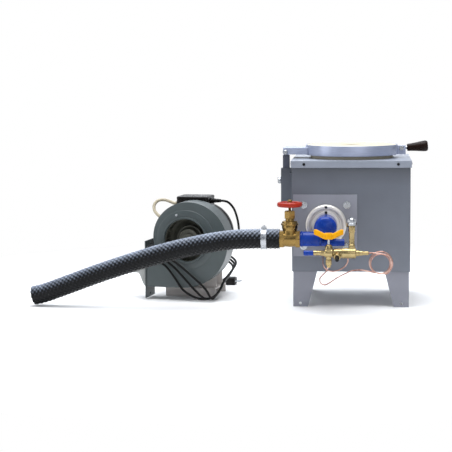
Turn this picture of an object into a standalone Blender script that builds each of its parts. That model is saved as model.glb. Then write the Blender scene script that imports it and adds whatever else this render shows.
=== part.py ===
"""Bench gas forge: a square lined hearth on legs with a swinging lid, a side burner with its
gas train and air valve, the ribbed air hose and the electric blower that feeds it."""

import math

import bmesh
import bpy
import numpy as np
from mathutils import Matrix, Vector

# Fits and mesh fineness
CLEARANCE = 0.0003
SLIDE_CLEARANCE = 0.0005
CUT_OVERRUN = 0.004
BIG_STEPS = 36
ROUND_STEPS = 20
SMALL_STEPS = 10
TINY_STEPS = 8
HOSE_STEPS = 8
HEX_STEPS = 6
SMOOTH_ANGLE_DEG = 40

# Casing, cover, pan and legs
CASE_WIDTH = 0.340
CASE_DEPTH = 0.340
CASE_SHEET = 0.002
LEG_HEIGHT = 0.103
COVER_TOP = 0.424
COVER_SHEET = 0.003
COVER_RIM = 0.020
PAN_SHEET = 0.002
PAN_FLANGE = 0.022
LEG_SHEET = 0.003
LEG_TOP_WIDTH = 0.070
LEG_FOOT_WIDTH = 0.043
LEG_INSET = 0.003
LEG_TAB = 0.040
LEG_HOLE_RADIUS = 0.004
LEG_HOLE_HEIGHT = 0.010
LEG_HOLE_INSET = 0.021
SCREW_HEAD_HEIGHT = 0.0025
BOLT_RADIUS = 0.004
BOLT_HEAD_RADIUS = 0.0075
BOLT_HEAD_HEIGHT = 0.0055
WASHER_RADIUS = 0.011
WASHER_THICKNESS = 0.0015

# Refractory
CHAMBER_RADIUS = 0.095
LINER_WALL = 0.027
LINER_STAND = 0.009
HEARTH_THICKNESS = 0.030

# Lid
LID_RADIUS = 0.136
LID_HEIGHT = 0.030
LID_BAND = 0.003
LID_LIP = 0.006
VENT_RADIUS = 0.030
ARM_WIDTH = 0.090
ARM_HEIGHT = 0.020
ARM_SHEET = 0.003
ARM_TOP_DROP = 0.008
ARM_TAIL = 0.007
HINGE_STAND = 0.025
HINGE_BELOW_ARM_TOP = 0.013
HINGE_BARREL_RADIUS = 0.0085
HINGE_PIN_RADIUS = 0.005
HINGE_HEAD_HEIGHT = 0.006
POST_WIDTH = 0.020
POST_SHOULDER = 0.013
POST_BOTTOM = 0.290
TONGUE_WIDTH = 0.014
SLEEVE_WALL = 0.005
SLEEVE_TOP = 0.393
SLEEVE_BOTTOM = 0.283
SLEEVE_PAD_WIDTH = 0.070
SLEEVE_PAD_HEIGHT = 0.080
CLAMP_HEIGHT = 0.357
CLAMP_RADIUS = 0.004
KNOB_RADIUS = 0.0115
KNOB_LENGTH = 0.010
KNOB_LOBES = 5
LUG_LENGTH = 0.024
LUG_RISE = 0.026
LUG_THICKNESS = 0.005
LUG_BOLT_INSET = 0.012
LUG_BOLT_RISE = 0.018
ROD_RADIUS = 0.005
ROD_TILT_DEG = 5
ROD_TAIL = 0.008
GRIP_START = 0.016
GRIP_LENGTH = 0.062
GRIP_SMALL_RADIUS = 0.0105
GRIP_LARGE_RADIUS = 0.016
GRIP_END_WALL = 0.010

# Burner
PLATE_LEFT = -0.166
PLATE_RIGHT = 0.018
PLATE_BOTTOM = 0.148
PLATE_TOP = 0.327
PLATE_SHEET = 0.003
PLATE_BOLT_INSET = 0.030
BURNER_X = -0.071
BURNER_Z = 0.240
FLANGE_RADIUS = 0.0585
FLANGE_DEPTH = 0.018
FLANGE_LIP = 0.010
FLANGE_RING_RADIUS = 0.042
FLANGE_RECESS = 0.006
FLANGE_SCREW_RADIUS = 0.003
FLANGE_HEAD_SHARE = 1.4
TUBE_RADIUS = 0.024
TUBE_WALL = 0.003
TUBE_SETBACK = 0.004
BARREL_RADIUS = 0.032
BARREL_FRONT = 0.098
BARREL_WALL = 0.004
DOME_ROUND = 0.014
AIR_Z = 0.207
AIR_OUT = 0.075
RUN_RADIUS = 0.021
RUN_WALL = 0.0035
RUN_RIGHT = -0.078
STUB_RADIUS = 0.010
STUB_RIGHT = -0.017

# Air valve
VALVE_X = -0.172
VALVE_LENGTH = 0.058
VALVE_HEX = 0.013
VALVE_HEX_RADIUS = 0.0265
VALVE_WAIST_RADIUS = 0.0225
VALVE_NECK_RADIUS = 0.0225
VALVE_NECK_TOP = 0.246
COLLAR_RADIUS = 0.025
COLLAR_HEIGHT = 0.012
BONNET_NECK_RADIUS = 0.012
PACKING_RADIUS = 0.0165
PACKING_BOTTOM = 0.265
PACKING_TOP = 0.287
STEM_RADIUS = 0.004
STEM_BOTTOM = 0.222
WEDGE_RADIUS = 0.0185
WEDGE_THICKNESS = 0.014
WEDGE_TRAVEL = 0.030
WHEEL_Z = 0.305
WHEEL_RADIUS = 0.0365
WHEEL_RIM_RADIUS = 0.0055
WHEEL_HUB_RADIUS = 0.011
WHEEL_HUB_HEIGHT = 0.014
WHEEL_SPOKES = 5
SPOKE_WIDTH = 0.008
SPOKE_THICKNESS = 0.005
WHEEL_NUT_RADIUS = 0.007
WHEEL_NUT_HEIGHT = 0.006

# Air hose
HOSE_RADIUS = 0.0285
HOSE_RIB_DEPTH = 0.0020
HOSE_BORE_RADIUS = 0.0225
HOSE_RIB_PITCH = 0.0095
HOSE_STEP = 0.020
NIPPLE_RADIUS = 0.0200
NIPPLE_WALL = 0.0030
NIPPLE_REACH = 0.062
CLAMP_WIDTH = 0.016
CLAMP_BAND = 0.0015
CLAMP_SHARE = 0.72
CLAMP_BOX_LENGTH = 0.022
CLAMP_BOX_HEIGHT = 0.010
# Along the front, out from the casing's face, and height
HOSE_ROUTE = (
    (-0.2100, 0.0750, 0.2070),
    (-0.2400, 0.0750, 0.2070),
    (-0.2720, 0.0750, 0.2070),
    (-0.3400, 0.0725, 0.2030),
    (-0.4300, 0.0670, 0.1880),
    (-0.5300, 0.0590, 0.1640),
    (-0.6300, 0.0500, 0.1340),
    (-0.7300, 0.0400, 0.1000),
    (-0.8300, 0.0290, 0.0625),
    (-0.9000, 0.0215, 0.0370),
    (-0.9290, 0.0185, 0.0300),
)

# Gas train
GAS_Z = 0.1755
GAS_OUT = 0.145
CAP_LEFT = -0.130
CAP_RIGHT = -0.1025
CAP_RADIUS = 0.0072
GAS_NIPPLE_RADIUS = 0.0070
GAS_NIPPLE_HEX_RADIUS = 0.0085
COCK_LEFT = -0.072
COCK_RIGHT = -0.0475
COCK_RADIUS = 0.0125
COCK_STEM_X = -0.060
COCK_LEG_RADIUS = 0.0085
COCK_LEG_TIP_RADIUS = 0.0055
COCK_LEG_BOTTOM = 0.135
COCK_DOME_TOP = 0.200
COCK_BORE_RADIUS = 0.0045
COCK_STEM_RADIUS = 0.0035
COCK_BALL_RADIUS = 0.008
HANDLE_HUB_BOTTOM = 0.214
HANDLE_HUB_TOP = 0.226
HANDLE_HUB_RADIUS = 0.0125
HANDLE_NUT_RADIUS = 0.0060
HANDLE_NUT_HEIGHT = 0.0045
WING_SPAN = 0.041
WING_THICKNESS = 0.0028
WING_WIDTH = 0.017
WING_RISE = 0.019
WING_ROOT_SHARE = 0.3
SAFETY_X = -0.0362
SAFETY_RADIUS = 0.0135
BUTTON_TILT_DEG = 30
BOSS_RADIUS = 0.0125
BOSS_REACH = 0.022
PLUNGER_RADIUS = 0.0060
PLUNGER_STAND = 0.014
PLUNGER_TIP_RADIUS = 0.0050
PLUNGER_TIP_LENGTH = 0.005
PLUNGER_TRAVEL = 0.006
PLUNGER_SEAT = 0.012
MAGNET_LEFT = -0.0237
MAGNET_RIGHT = 0.016
MAGNET_RADIUS = 0.0150
GLAND_NUT_RIGHT = 0.034
GLAND_NUT_RADIUS = 0.0085
TAIL_NUT_RIGHT = 0.051
TAIL_NUT_RADIUS = 0.0055
RISER_X = 0.004
RISER_RADIUS = 0.0095
RISER_TOP = 0.2525
RISER_BORE_RADIUS = 0.004
ELBOW_TOP = 0.2745
ELBOW_RADIUS = 0.0120
JET_RADIUS = 0.0050
JET_Z = 0.264
COPPER_RADIUS = 0.0019
COPPER_STEP = 0.0085
COPPER_HOLE_RADIUS = 0.0035
LOOP_X = 0.0835
LOOP_Z = 0.1465
LOOP_RADIUS = 0.032
LOOP_SHRINK = 0.0065
LOOP_SHIFT = 0.0065
LOOP_TURNS = 2
LOOP_POINTS = 24
LEAD_ENTRY_X = -0.061
LEAD_ENTRY_Z = 0.160
PILOT_ENTRY_X = -0.078
PILOT_ENTRY_Z = 0.162

# Blower, in its own frame: u to the right, v along the shaft away from the inlet, height above the floor
BLOWER_X = -0.493
BLOWER_Y = -0.075
BLOWER_TURN_DEG = -9
SHAFT_HEIGHT = 0.1815
SCROLL_START_DEG = 198
SCROLL_END_DEG = -90
SCROLL_START_RADIUS = 0.097
SCROLL_END_RADIUS = 0.143
SCROLL_POINTS = 36
SCROLL_DEPTH = 0.078
SCROLL_SHEET = 0.002
OUTLET_U = -0.124
OUTLET_FLANGE_SHEET = 0.003
OUTLET_FLANGE_DEPTH = 0.088
OUTLET_FLANGE_TOP = 0.177
OUTLET_FLANGE_BOTTOM = 0.004
OUTLET_HOLE_RADIUS = 0.004
INLET_RADIUS = 0.0635
INLET_LIP_RADIUS = 0.069
INLET_LIP_STAND = 0.009
INLET_LIP_THICKNESS = 0.0022
FAN_RADIUS = 0.076
FAN_FRONT = 0.012
FAN_BACK = 0.066
FAN_PLATE = 0.002
FAN_RING_WIDTH = 0.013
FAN_BLADES = 15
FAN_BLADE_THICKNESS = 0.0018
FAN_HUB_RADIUS = 0.026
FAN_HUB_FRONT = 0.030
SHAFT_RADIUS = 0.006
SHAFT_NOSE = 0.020
SHAFT_REACH = 0.120
MOTOR_RADIUS = 0.100
MOTOR_BELL_RADIUS = 0.088
MOTOR_BELL = 0.014
MOTOR_LENGTH = 0.135
BOX_LEFT = -0.054
BOX_RIGHT = 0.046
BOX_FRONT = 0.086
BOX_BACK = 0.176
BOX_TOP = 0.305
BOX_SINK = 0.030
BASE_LEFT = -0.088
BASE_RIGHT = 0.070
BASE_FRONT = 0.082
BASE_BACK = 0.204
BASE_HEIGHT = 0.027
BASE_SHEET = 0.003
SADDLE_INSET = 0.022
SADDLE_SHEET = 0.004
SADDLE_TOP = 0.100
SADDLE_TOP_HALF = 0.065
ADAPTER_LENGTH = 0.036
SPIGOT_LENGTH = 0.036
SPIGOT_RADIUS = 0.0205
ADAPTER_WALL = 0.002
ADAPTER_POINTS = 32
MOTOR_LEAD_RADIUS = 0.0048
MOTOR_LEAD_STEP = 0.010
CORD_RADIUS = 0.0035
CORD_PITCH = 0.0085
CORD_STEP = 0.026
CORD_TURNS = 3
RELIEF_LENGTH = 0.030
RELIEF_SMALL_RADIUS = 0.0048
RELIEF_LARGE_RADIUS = 0.0085
RELIEF_V = 0.130
RELIEF_HEIGHT = 0.290
PLUG_LENGTH = 0.040
PLUG_WIDTH = 0.036
PLUG_HEIGHT = 0.026
PLUG_NECK_RADIUS = 0.0065
PLUG_NECK_LENGTH = 0.020
PIN_RADIUS = 0.0024
PIN_LENGTH = 0.019
PIN_SPREAD = 0.0095

# Routes through the blower's frame, by hand: u, v and height
MOTOR_LEAD_ROUTE = (
    (-0.0740, 0.0940, 0.2885),
    (-0.0920, 0.0880, 0.2940),
    (-0.1090, 0.0820, 0.2920),
    (-0.1190, 0.0750, 0.2800),
    (-0.1170, 0.0680, 0.2640),
    (-0.1080, 0.0640, 0.2530),
)
MOTOR_LEAD_V = 0.096
MOTOR_LEAD_HEIGHT = 0.284
MOTOR_LEAD_END_V = 0.062
MOTOR_LEAD_END_DEG = 147
CORD_LEAD_IN = (
    (0.0960, 0.1360, 0.2860),
    (0.1100, 0.1480, 0.2680),
    (0.1160, 0.1650, 0.2420),
    (0.1160, 0.1900, 0.2080),
    (0.1070, 0.2220, 0.1750),
    (0.0820, 0.2440, 0.1560),
    (0.0420, 0.2500, 0.1470),
    (0.0000, 0.2480, 0.1430),
)
# One turn of the winding, then the way in which an outer turn lies beside the innermost
CORD_TURN = (
    (-0.0600, 0.2360, 0.1200, 0, 0.2, 1),
    (-0.1050, 0.2120, 0.1270, 0, 0.2, 1),
    (-0.1270, 0.1650, 0.1400, -0.3, 0, 1.1),
    (-0.1200, 0.1180, 0.1560, 0.5, 0, 1),
    (-0.1190, 0.0780, 0.1580, 0.85, 0, 0.5),
    (-0.1185, 0.0320, 0.1580, 0.97, 0, 0),
    (-0.1170, -0.0085, 0.1560, 1.13, -0.2, 0.1),
    (-0.0980, -0.0160, 0.1340, 1.9, -0.3, 0.4),
    (-0.0560, -0.0140, 0.1020, 2.1, -0.4, 0.7),
    (-0.0300, -0.0120, 0.0680, 3.0, -0.3, 0.65),
    (-0.0040, -0.0100, 0.0320, 4.0, -0.4, 0.5),
    (0.0380, -0.0050, 0.0085, 2.8, -1.0, 0.2),
    (0.0720, 0.0190, 0.0065, 1.1, -0.8, 0.6),
    (0.0840, 0.0600, 0.0180, 0.6, -0.1, 0.9),
    (0.0860, 0.1050, 0.0380, 0.5, 0, 0.9),
    (0.0930, 0.1550, 0.0560, 0.5, 0, 0.9),
    (0.0930, 0.2050, 0.0790, 0.5, 0.2, 0.9),
    (0.0560, 0.2360, 0.0970, 0, 0.5, 1),
    (0.0050, 0.2400, 0.1090, 0, 0.3, 1),
)
CORD_TAIL = (
    (-0.0560, 0.2640, 0.0900),
    (-0.0900, 0.2850, 0.0420),
    (-0.0900, 0.3150, 0.0110),
    (-0.0620, 0.3400, 0.0130),
    (-0.0250, 0.3420, 0.0130),
    (0.0000, 0.3420, 0.0130),
)
# Along the front, out from the casing's face, and height
PILOT_ROUTE = (
    (-0.0070, 0.1450, 0.1640),
    (-0.0070, 0.1450, 0.1520),
    (-0.0140, 0.1440, 0.1390),
    (-0.0280, 0.1410, 0.1290),
    (-0.0460, 0.1350, 0.1230),
    (-0.0640, 0.1240, 0.1240),
    (-0.0760, 0.1060, 0.1350),
    (-0.0780, 0.0800, 0.1500),
    (-0.0780, 0.0520, 0.1600),
    (-0.0780, 0.0250, 0.1620),
    (-0.0780, -0.0020, 0.1620),
)
LEAD_START = (
    (0.0490, 0.1450, 0.1755),
    (0.0600, 0.1450, 0.1765),
)
LEAD_END = (
    (0.0500, 0.1290, 0.1225),
    (0.0280, 0.1290, 0.1260),
    (0.0060, 0.1290, 0.1240),
    (-0.0160, 0.1295, 0.1150),
    (-0.0400, 0.1310, 0.1020),
    (-0.0580, 0.1330, 0.0900),
    (-0.0720, 0.1350, 0.0845),
    (-0.0830, 0.1350, 0.0900),
    (-0.0850, 0.1290, 0.1020),
    (-0.0770, 0.1200, 0.1110),
    (-0.0670, 0.1080, 0.1200),
    (-0.0620, 0.0920, 0.1360),
    (-0.0610, 0.0700, 0.1540),
    (-0.0610, 0.0420, 0.1600),
    (-0.0610, -0.0020, 0.1600),
)

# Finishes: sRGB colour, roughness, metallic
FINISHES = {
    "case_paint": ("686D78", 0.45, 0.0),
    "plate_paint": ("80828F", 0.40, 0.0),
    "leg_paint": ("85878F", 0.45, 0.0),
    "post_steel": ("4A4E58", 0.45, 0.6),
    "lid_steel": ("98A0B6", 0.35, 0.3),
    "refractory": ("EDE8DC", 0.95, 0.0),
    "hot_face": ("D9CDB6", 0.95, 0.0),
    "zinc": ("B4B4B2", 0.35, 1.0),
    "black_steel": ("17181A", 0.40, 0.6),
    "burner_casting": ("C9C5C2", 0.35, 0.9),
    "stainless": ("A89888", 0.35, 1.0),
    "blue_enamel": ("0A2FA0", 0.20, 0.0),
    "brass": ("9A7C38", 0.30, 1.0),
    "red_paint": ("C8402A", 0.30, 0.0),
    "hose_rubber": ("14161C", 0.45, 0.0),
    "yellow_coat": ("F0B010", 0.35, 0.0),
    "button_plastic": ("101010", 0.35, 0.0),
    "copper": ("B4705A", 0.30, 1.0),
    "grip_wood": ("22140A", 0.50, 0.0),
    "blower_paint": ("4E5A60", 0.40, 0.0),
    "motor_paint": ("140A06", 0.35, 0.2),
    "base_steel": ("8A8384", 0.45, 0.4),
    "adapter_steel": ("A9B0AF", 0.40, 0.5),
    "cream_sleeve": ("E8E0D0", 0.60, 0.0),
    "cord_rubber": ("0D0C0C", 0.50, 0.0),
}

UP = Vector((0, 0, 1))
RIGHT = Vector((1, 0, 0))
BACK = Vector((0, 1, 0))
FRONT_FACE = -CASE_DEPTH / 2
HINGE_X = -CASE_WIDTH / 2 - HINGE_STAND
LINER_RADIUS = CHAMBER_RADIUS + LINER_WALL
LINER_TOP = COVER_TOP + LINER_STAND
PAN_TOP = LEG_HEIGHT + PAN_SHEET
CASE_TOP = COVER_TOP - COVER_SHEET - CLEARANCE
LID_BOTTOM = LINER_TOP + CLEARANCE
LID_TOP = LID_BOTTOM + LID_HEIGHT
ARM_TOP = LID_TOP - ARM_TOP_DROP
HINGE_Z = ARM_TOP - HINGE_BELOW_ARM_TOP
PLATE_FRONT = FRONT_FACE - CLEARANCE - PLATE_SHEET
AIR_Y = FRONT_FACE - AIR_OUT
GAS_Y = FRONT_FACE - GAS_OUT
PI_TURN = 2 * math.pi


class Shape:
    """Points and faces of one or more closed bodies, before they become an object."""

    def __init__(self, points=(), faces=()):
        self.points = [Vector(p) for p in points]
        self.faces = [tuple(f) for f in faces]

    def moved(self, matrix):
        return Shape([matrix @ p for p in self.points], self.faces)

    def shifted(self, offset):
        return self.moved(Matrix.Translation(offset))

    def with_shape(self, other):
        start = len(self.points)
        faces = [tuple(i + start for i in f) for f in other.faces]
        return Shape(self.points + other.points, self.faces + faces)


def together(shapes):
    """Several bodies that don't touch, as one shape."""
    result = Shape()
    for shape in shapes:
        result = result.with_shape(shape)
    return result


def block(low, high):
    """A box between two corners."""
    xs, ys, zs = zip(low, high)
    points = [(x, y, z) for z in zs for y in ys for x in xs]
    faces = [(0, 2, 3, 1), (4, 5, 7, 6), (0, 1, 5, 4), (2, 6, 7, 3), (0, 4, 6, 2), (1, 3, 7, 5)]
    return Shape(points, faces)


def facing(axis, base):
    """The matrix that turns +Z to an axis and moves the origin to a base point."""
    return Matrix.Translation(base) @ Vector(axis).to_track_quat("Z", "Y").to_matrix().to_4x4()


def turned(profile, base=(0, 0, 0), axis=UP, steps=ROUND_STEPS, ring=False, phase=0.0):
    """A body turned from (height, radius) pairs about an axis; ring closes the profile on itself."""
    points = []
    rows = []
    for height, radius in profile:
        if radius == 0:
            rows.append([len(points)])
            points.append(Vector((0, 0, height)))
            continue
        rows.append(list(range(len(points), len(points) + steps)))
        for step in range(steps):
            angle = PI_TURN * (step + phase) / steps
            points.append(Vector((radius * math.cos(angle), radius * math.sin(angle), height)))
    pairs = list(zip(rows, rows[1:]))
    if ring:
        pairs.append((rows[-1], rows[0]))
    faces = []
    for below, above in pairs:
        for step in range(steps):
            after = (step + 1) % steps
            if len(below) == 1 and len(above) == 1:
                continue
            if len(below) == 1:
                faces.append((below[0], above[step], above[after]))
            elif len(above) == 1:
                faces.append((below[step], below[after], above[0]))
            else:
                faces.append((below[step], below[after], above[after], above[step]))
    return Shape(points, faces).moved(facing(axis, base))


def rod(radius, start, end, steps=SMALL_STEPS, phase=0.0):
    """A round or hexagonal bar between two points."""
    along = Vector(end) - Vector(start)
    length = along.length
    return turned([(0, 0), (0, radius), (length, radius), (length, 0)], start, along, steps, phase=phase)


def pipe(outer, inner, start, end, steps=ROUND_STEPS, phase=0.0):
    """A round tube between two points."""
    along = Vector(end) - Vector(start)
    length = along.length
    profile = [(0, inner), (0, outer), (length, outer), (length, inner)]
    return turned(profile, start, along, steps, ring=True, phase=phase)


def prism(outline, along):
    """A flat outline of 3-D points pushed along a vector."""
    count = len(outline)
    points = [Vector(p) for p in outline]
    points += [p + Vector(along) for p in points]
    faces = [tuple(range(count)), tuple(range(2 * count - 1, count - 1, -1))]
    for i in range(count):
        j = (i + 1) % count
        faces.append((i, j, j + count, i + count))
    return Shape(points, faces)


def lofted(rings, closed):
    """Rings of equal count joined in order; closed joins the last ring to the first."""
    count = len(rings[0])
    points = [Vector(p) for ring in rings for p in ring]
    faces = []
    spans = len(rings) if closed else len(rings) - 1
    for r in range(spans):
        low = r * count
        high = ((r + 1) % len(rings)) * count
        for i in range(count):
            j = (i + 1) % count
            faces.append((low + i, low + j, high + j, high + i))
    if not closed:
        faces.append(tuple(range(count)))
        faces.append(tuple(range(len(points) - count, len(points))))
    return Shape(points, faces)


def mesh_of(name, shape):
    """A mesh whose faces all point outward."""
    mesh = bpy.data.meshes.new(name)
    mesh.from_pydata(shape.points, [], shape.faces)
    work = bmesh.new()
    work.from_mesh(mesh)
    bmesh.ops.recalc_face_normals(work, faces=work.faces)
    work.to_mesh(mesh)
    work.free()
    return mesh


def linear_colour(text):
    """The linear value of an sRGB colour in hex."""
    channels = [int(text[i : i + 2], 16) / 255 for i in (0, 2, 4)]
    return [c / 12.92 if c <= 0.04045 else ((c + 0.055) / 1.055) ** 2.4 for c in channels] + [1.0]


def coat(thing, finish):
    """Give an object a material of its own."""
    colour, roughness, metallic = FINISHES[finish]
    material = bpy.data.materials.new(f"{thing.name}_{finish}")
    material.use_nodes = True
    shader = material.node_tree.nodes["Principled BSDF"]
    shader.inputs["Base Color"].default_value = linear_colour(colour)
    shader.inputs["Roughness"].default_value = roughness
    shader.inputs["Metallic"].default_value = metallic
    material.diffuse_color = linear_colour(colour)
    thing.data.materials.append(material)


def piece(name, shape, finish, parent, smooth=True):
    """A sub-part from a shape given in the model's frame, or in its parent's frame for the blower."""
    mesh = mesh_of(name, shape)
    if smooth:
        mesh.shade_smooth()
        mesh.set_sharp_from_angle(angle=math.radians(SMOOTH_ANGLE_DEG))
    thing = bpy.data.objects.new(name, mesh)
    bpy.context.scene.collection.objects.link(thing)
    thing.parent = parent
    thing.location = -pivot_of(parent)
    coat(thing, finish)
    return thing


def pivot_of(parent):
    """Where a parent empty stands in the frame that its pieces' meshes are written in."""
    return Vector(parent.get("pivot", (0, 0, 0)))


def change(thing, shape, operation):
    """Cut a shape from an object, or join it on, with a hidden helper."""
    helper_name = f"{thing.name}_helper_{len(thing.modifiers)}"
    helper = bpy.data.objects.new(helper_name, mesh_of(helper_name, shape))
    bpy.context.scene.collection.objects.link(helper)
    helper.parent = thing.parent
    helper.location = thing.location
    helper.hide_render = True
    helper.display_type = "WIRE"
    modifier = thing.modifiers.new(operation.lower(), "BOOLEAN")
    modifier.operation = operation
    modifier.solver = "EXACT"
    modifier.object = helper


def cut(thing, shape):
    change(thing, shape, "DIFFERENCE")


def fuse(thing, shape):
    change(thing, shape, "UNION")


def empty(name, parent, place=(0, 0, 0)):
    """A pivot that stands on a joint's axis; its pieces keep their meshes in the same frame as before."""
    pivot = bpy.data.objects.new(name, None)
    bpy.context.scene.collection.objects.link(pivot)
    pivot.parent = parent
    if parent is not None:
        pivot.location = Vector(place) - pivot_of(parent)
    pivot["pivot"] = tuple(place)
    return pivot


def from_face(route):
    """A route whose points are given by how far out they stand from the casing's face."""
    return [(x, FRONT_FACE - out, height) for x, out, height in route]


def smooth_line(route, step):
    """Points a step apart along a smooth curve through a route."""
    marks = np.array(route, float)
    ends = np.vstack([2 * marks[0] - marks[1], marks, 2 * marks[-1] - marks[-2]])
    knots = np.concatenate([[0], np.cumsum(np.sqrt(np.linalg.norm(np.diff(ends, axis=0), axis=1)))])
    line = []
    for i in range(1, len(ends) - 2):
        t0, t1, t2, t3 = knots[i - 1 : i + 3]
        p0, p1, p2, p3 = ends[i - 1 : i + 3]
        for t in np.linspace(t1, t2, 16, endpoint=False):
            a1 = ((t1 - t) * p0 + (t - t0) * p1) / (t1 - t0)
            a2 = ((t2 - t) * p1 + (t - t1) * p2) / (t2 - t1)
            a3 = ((t3 - t) * p2 + (t - t2) * p3) / (t3 - t2)
            b1 = ((t2 - t) * a1 + (t - t0) * a2) / (t2 - t0)
            b2 = ((t3 - t) * a2 + (t - t1) * a3) / (t3 - t1)
            line.append(((t2 - t) * b1 + (t - t1) * b2) / (t2 - t1))
    line.append(marks[-1])
    return spaced_line(np.array(line), step)


def spaced_line(line, step):
    """The same line with its points evenly apart."""
    along = np.concatenate([[0], np.cumsum(np.linalg.norm(np.diff(line, axis=0), axis=1))])
    count = max(2, round(along[-1] / step) + 1)
    at = np.linspace(0, along[-1], count)
    return np.stack([np.interp(at, along, line[:, k]) for k in range(3)], axis=1)


def square_ends(line, first_way, last_way):
    """The line with a straight stretch before its first point and after its last."""
    return np.vstack([line[0] - np.array(first_way), line, line[-1] + np.array(last_way)])


def line_length(line):
    return float(np.linalg.norm(np.diff(line, axis=0), axis=1).sum())


def tube(name, line, radius, finish, parent, resolution, radii=None):
    """A solid tube along a line, as a curve with filled caps."""
    curve = bpy.data.curves.new(name, "CURVE")
    curve.dimensions = "3D"
    curve.bevel_depth = radius
    curve.bevel_resolution = resolution
    curve.use_fill_caps = True
    curve.resolution_u = 1
    curve.render_resolution_u = 0
    spline = curve.splines.new("POLY")
    spline.points.add(len(line) - 1)
    for i, place in enumerate(line):
        spline.points[i].co = (*place, 1)
        spline.points[i].radius = 1 if radii is None else radii[i]
    spline.use_smooth = True
    thing = bpy.data.objects.new(name, curve)
    bpy.context.scene.collection.objects.link(thing)
    thing.parent = parent
    thing.location = -pivot_of(parent)
    if finish is None:
        thing.hide_render = True
        thing.display_type = "WIRE"
    else:
        coat(thing, finish)
    return thing


def tube_shape(line, radius, steps):
    """The same kind of tube as a shape, which a Boolean can use."""
    rings = []
    across = None
    for i, place in enumerate(line):
        before = line[max(i - 1, 0)]
        after = line[min(i + 1, len(line) - 1)]
        way = Vector(after - before).normalized()
        if across is None:
            across = way.cross(UP).normalized()
        across = (across - way * across.dot(way)).normalized()
        over = across.cross(way)
        size = radius[i] if hasattr(radius, "__len__") else radius
        ring = []
        for step in range(steps):
            angle = PI_TURN * step / steps
            ring.append(Vector(place) + (across * math.cos(angle) + over * math.sin(angle)) * size)
        rings.append(ring)
    return lofted(rings, False)


def screw(place, way, length, radius, head_radius, head_height, steps=SMALL_STEPS):
    """A headed screw: the underside of its head at a place, its shank going the given way."""
    profile = [
        (-head_height, 0),
        (-head_height, head_radius),
        (0, head_radius),
        (0, radius),
        (length, radius),
        (length, 0),
    ]
    return turned(profile, place, way, steps)


def hole(place, way, length, radius):
    """A cutter for a screw hole that starts outside the sheet."""
    way = Vector(way).normalized()
    start = Vector(place) - way * CUT_OVERRUN
    return rod(radius + CLEARANCE, start, start + way * (length + 2 * CUT_OVERRUN))


# Casing and frame


def burner_bolt_places():
    rows = (PLATE_BOTTOM + PLATE_BOLT_INSET, PLATE_TOP - PLATE_BOLT_INSET)
    columns = (PLATE_LEFT + PLATE_BOLT_INSET, PLATE_RIGHT - PLATE_BOLT_INSET)
    return [Vector((x, PLATE_FRONT, z)) for x in columns for z in rows]


def make_casing(parent):
    half_w = CASE_WIDTH / 2
    half_d = CASE_DEPTH / 2
    outer = block((-half_w, -half_d, LEG_HEIGHT), (half_w, half_d, CASE_TOP))
    casing = piece("casing", outer, "case_paint", parent, smooth=False)
    inner_low = (-half_w + CASE_SHEET, -half_d + CASE_SHEET, LEG_HEIGHT - CUT_OVERRUN)
    inner_high = (half_w - CASE_SHEET, half_d - CASE_SHEET, CASE_TOP + CUT_OVERRUN)
    cut(casing, block(inner_low, inner_high))
    bores = [hole(p, BACK, PLATE_SHEET + CASE_SHEET, BOLT_RADIUS) for p in burner_bolt_places()]
    bores.append(burner_bore())
    bores.append(copper_bore(LEAD_ENTRY_X, LEAD_ENTRY_Z))
    bores.append(copper_bore(PILOT_ENTRY_X, PILOT_ENTRY_Z))
    cut(casing, together(bores))


def burner_bore():
    start = (BURNER_X, PLATE_FRONT - CUT_OVERRUN, BURNER_Z)
    return rod(TUBE_RADIUS + CLEARANCE, start, (BURNER_X, 0, BURNER_Z), ROUND_STEPS)


def copper_bore(x, z):
    start = (x, PLATE_FRONT - CUT_OVERRUN, z)
    return rod(COPPER_HOLE_RADIUS, start, (x, FRONT_FACE + CASE_SHEET + CUT_OVERRUN, z))


def make_cover(parent):
    half_w = CASE_WIDTH / 2 + CLEARANCE
    half_d = CASE_DEPTH / 2 + CLEARANCE
    low = (-half_w - COVER_SHEET, -half_d - COVER_SHEET, COVER_TOP - COVER_RIM)
    high = (half_w + COVER_SHEET, half_d + COVER_SHEET, COVER_TOP)
    cover = piece("top_cover", block(low, high), "case_paint", parent, smooth=False)
    inside_low = (-half_w, -half_d, COVER_TOP - COVER_RIM - CUT_OVERRUN)
    cut(cover, block(inside_low, (half_w, half_d, COVER_TOP - COVER_SHEET)))
    start = (0, 0, COVER_TOP - COVER_SHEET - CUT_OVERRUN)
    cut(cover, rod(LINER_RADIUS + CLEARANCE, start, (0, 0, COVER_TOP + CUT_OVERRUN), ROUND_STEPS))


def leg_corners():
    return (
        ("leg_front_left", -1, -1),
        ("leg_front_right", 1, -1),
        ("leg_rear_left", -1, 1),
        ("leg_rear_right", 1, 1),
    )


def make_pan(parent):
    half_w = CASE_WIDTH / 2 - CASE_SHEET - CLEARANCE
    half_d = CASE_DEPTH / 2 - CASE_SHEET - CLEARANCE
    outer = block((-half_w, -half_d, LEG_HEIGHT), (half_w, half_d, LEG_HEIGHT + PAN_FLANGE))
    pan = piece("floor_pan", outer, "case_paint", parent, smooth=False)
    low = (-half_w + PAN_SHEET, -half_d + PAN_SHEET, PAN_TOP)
    high = (half_w - PAN_SHEET, half_d - PAN_SHEET, LEG_HEIGHT + PAN_FLANGE + CUT_OVERRUN)
    cut(pan, block(low, high))


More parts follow.
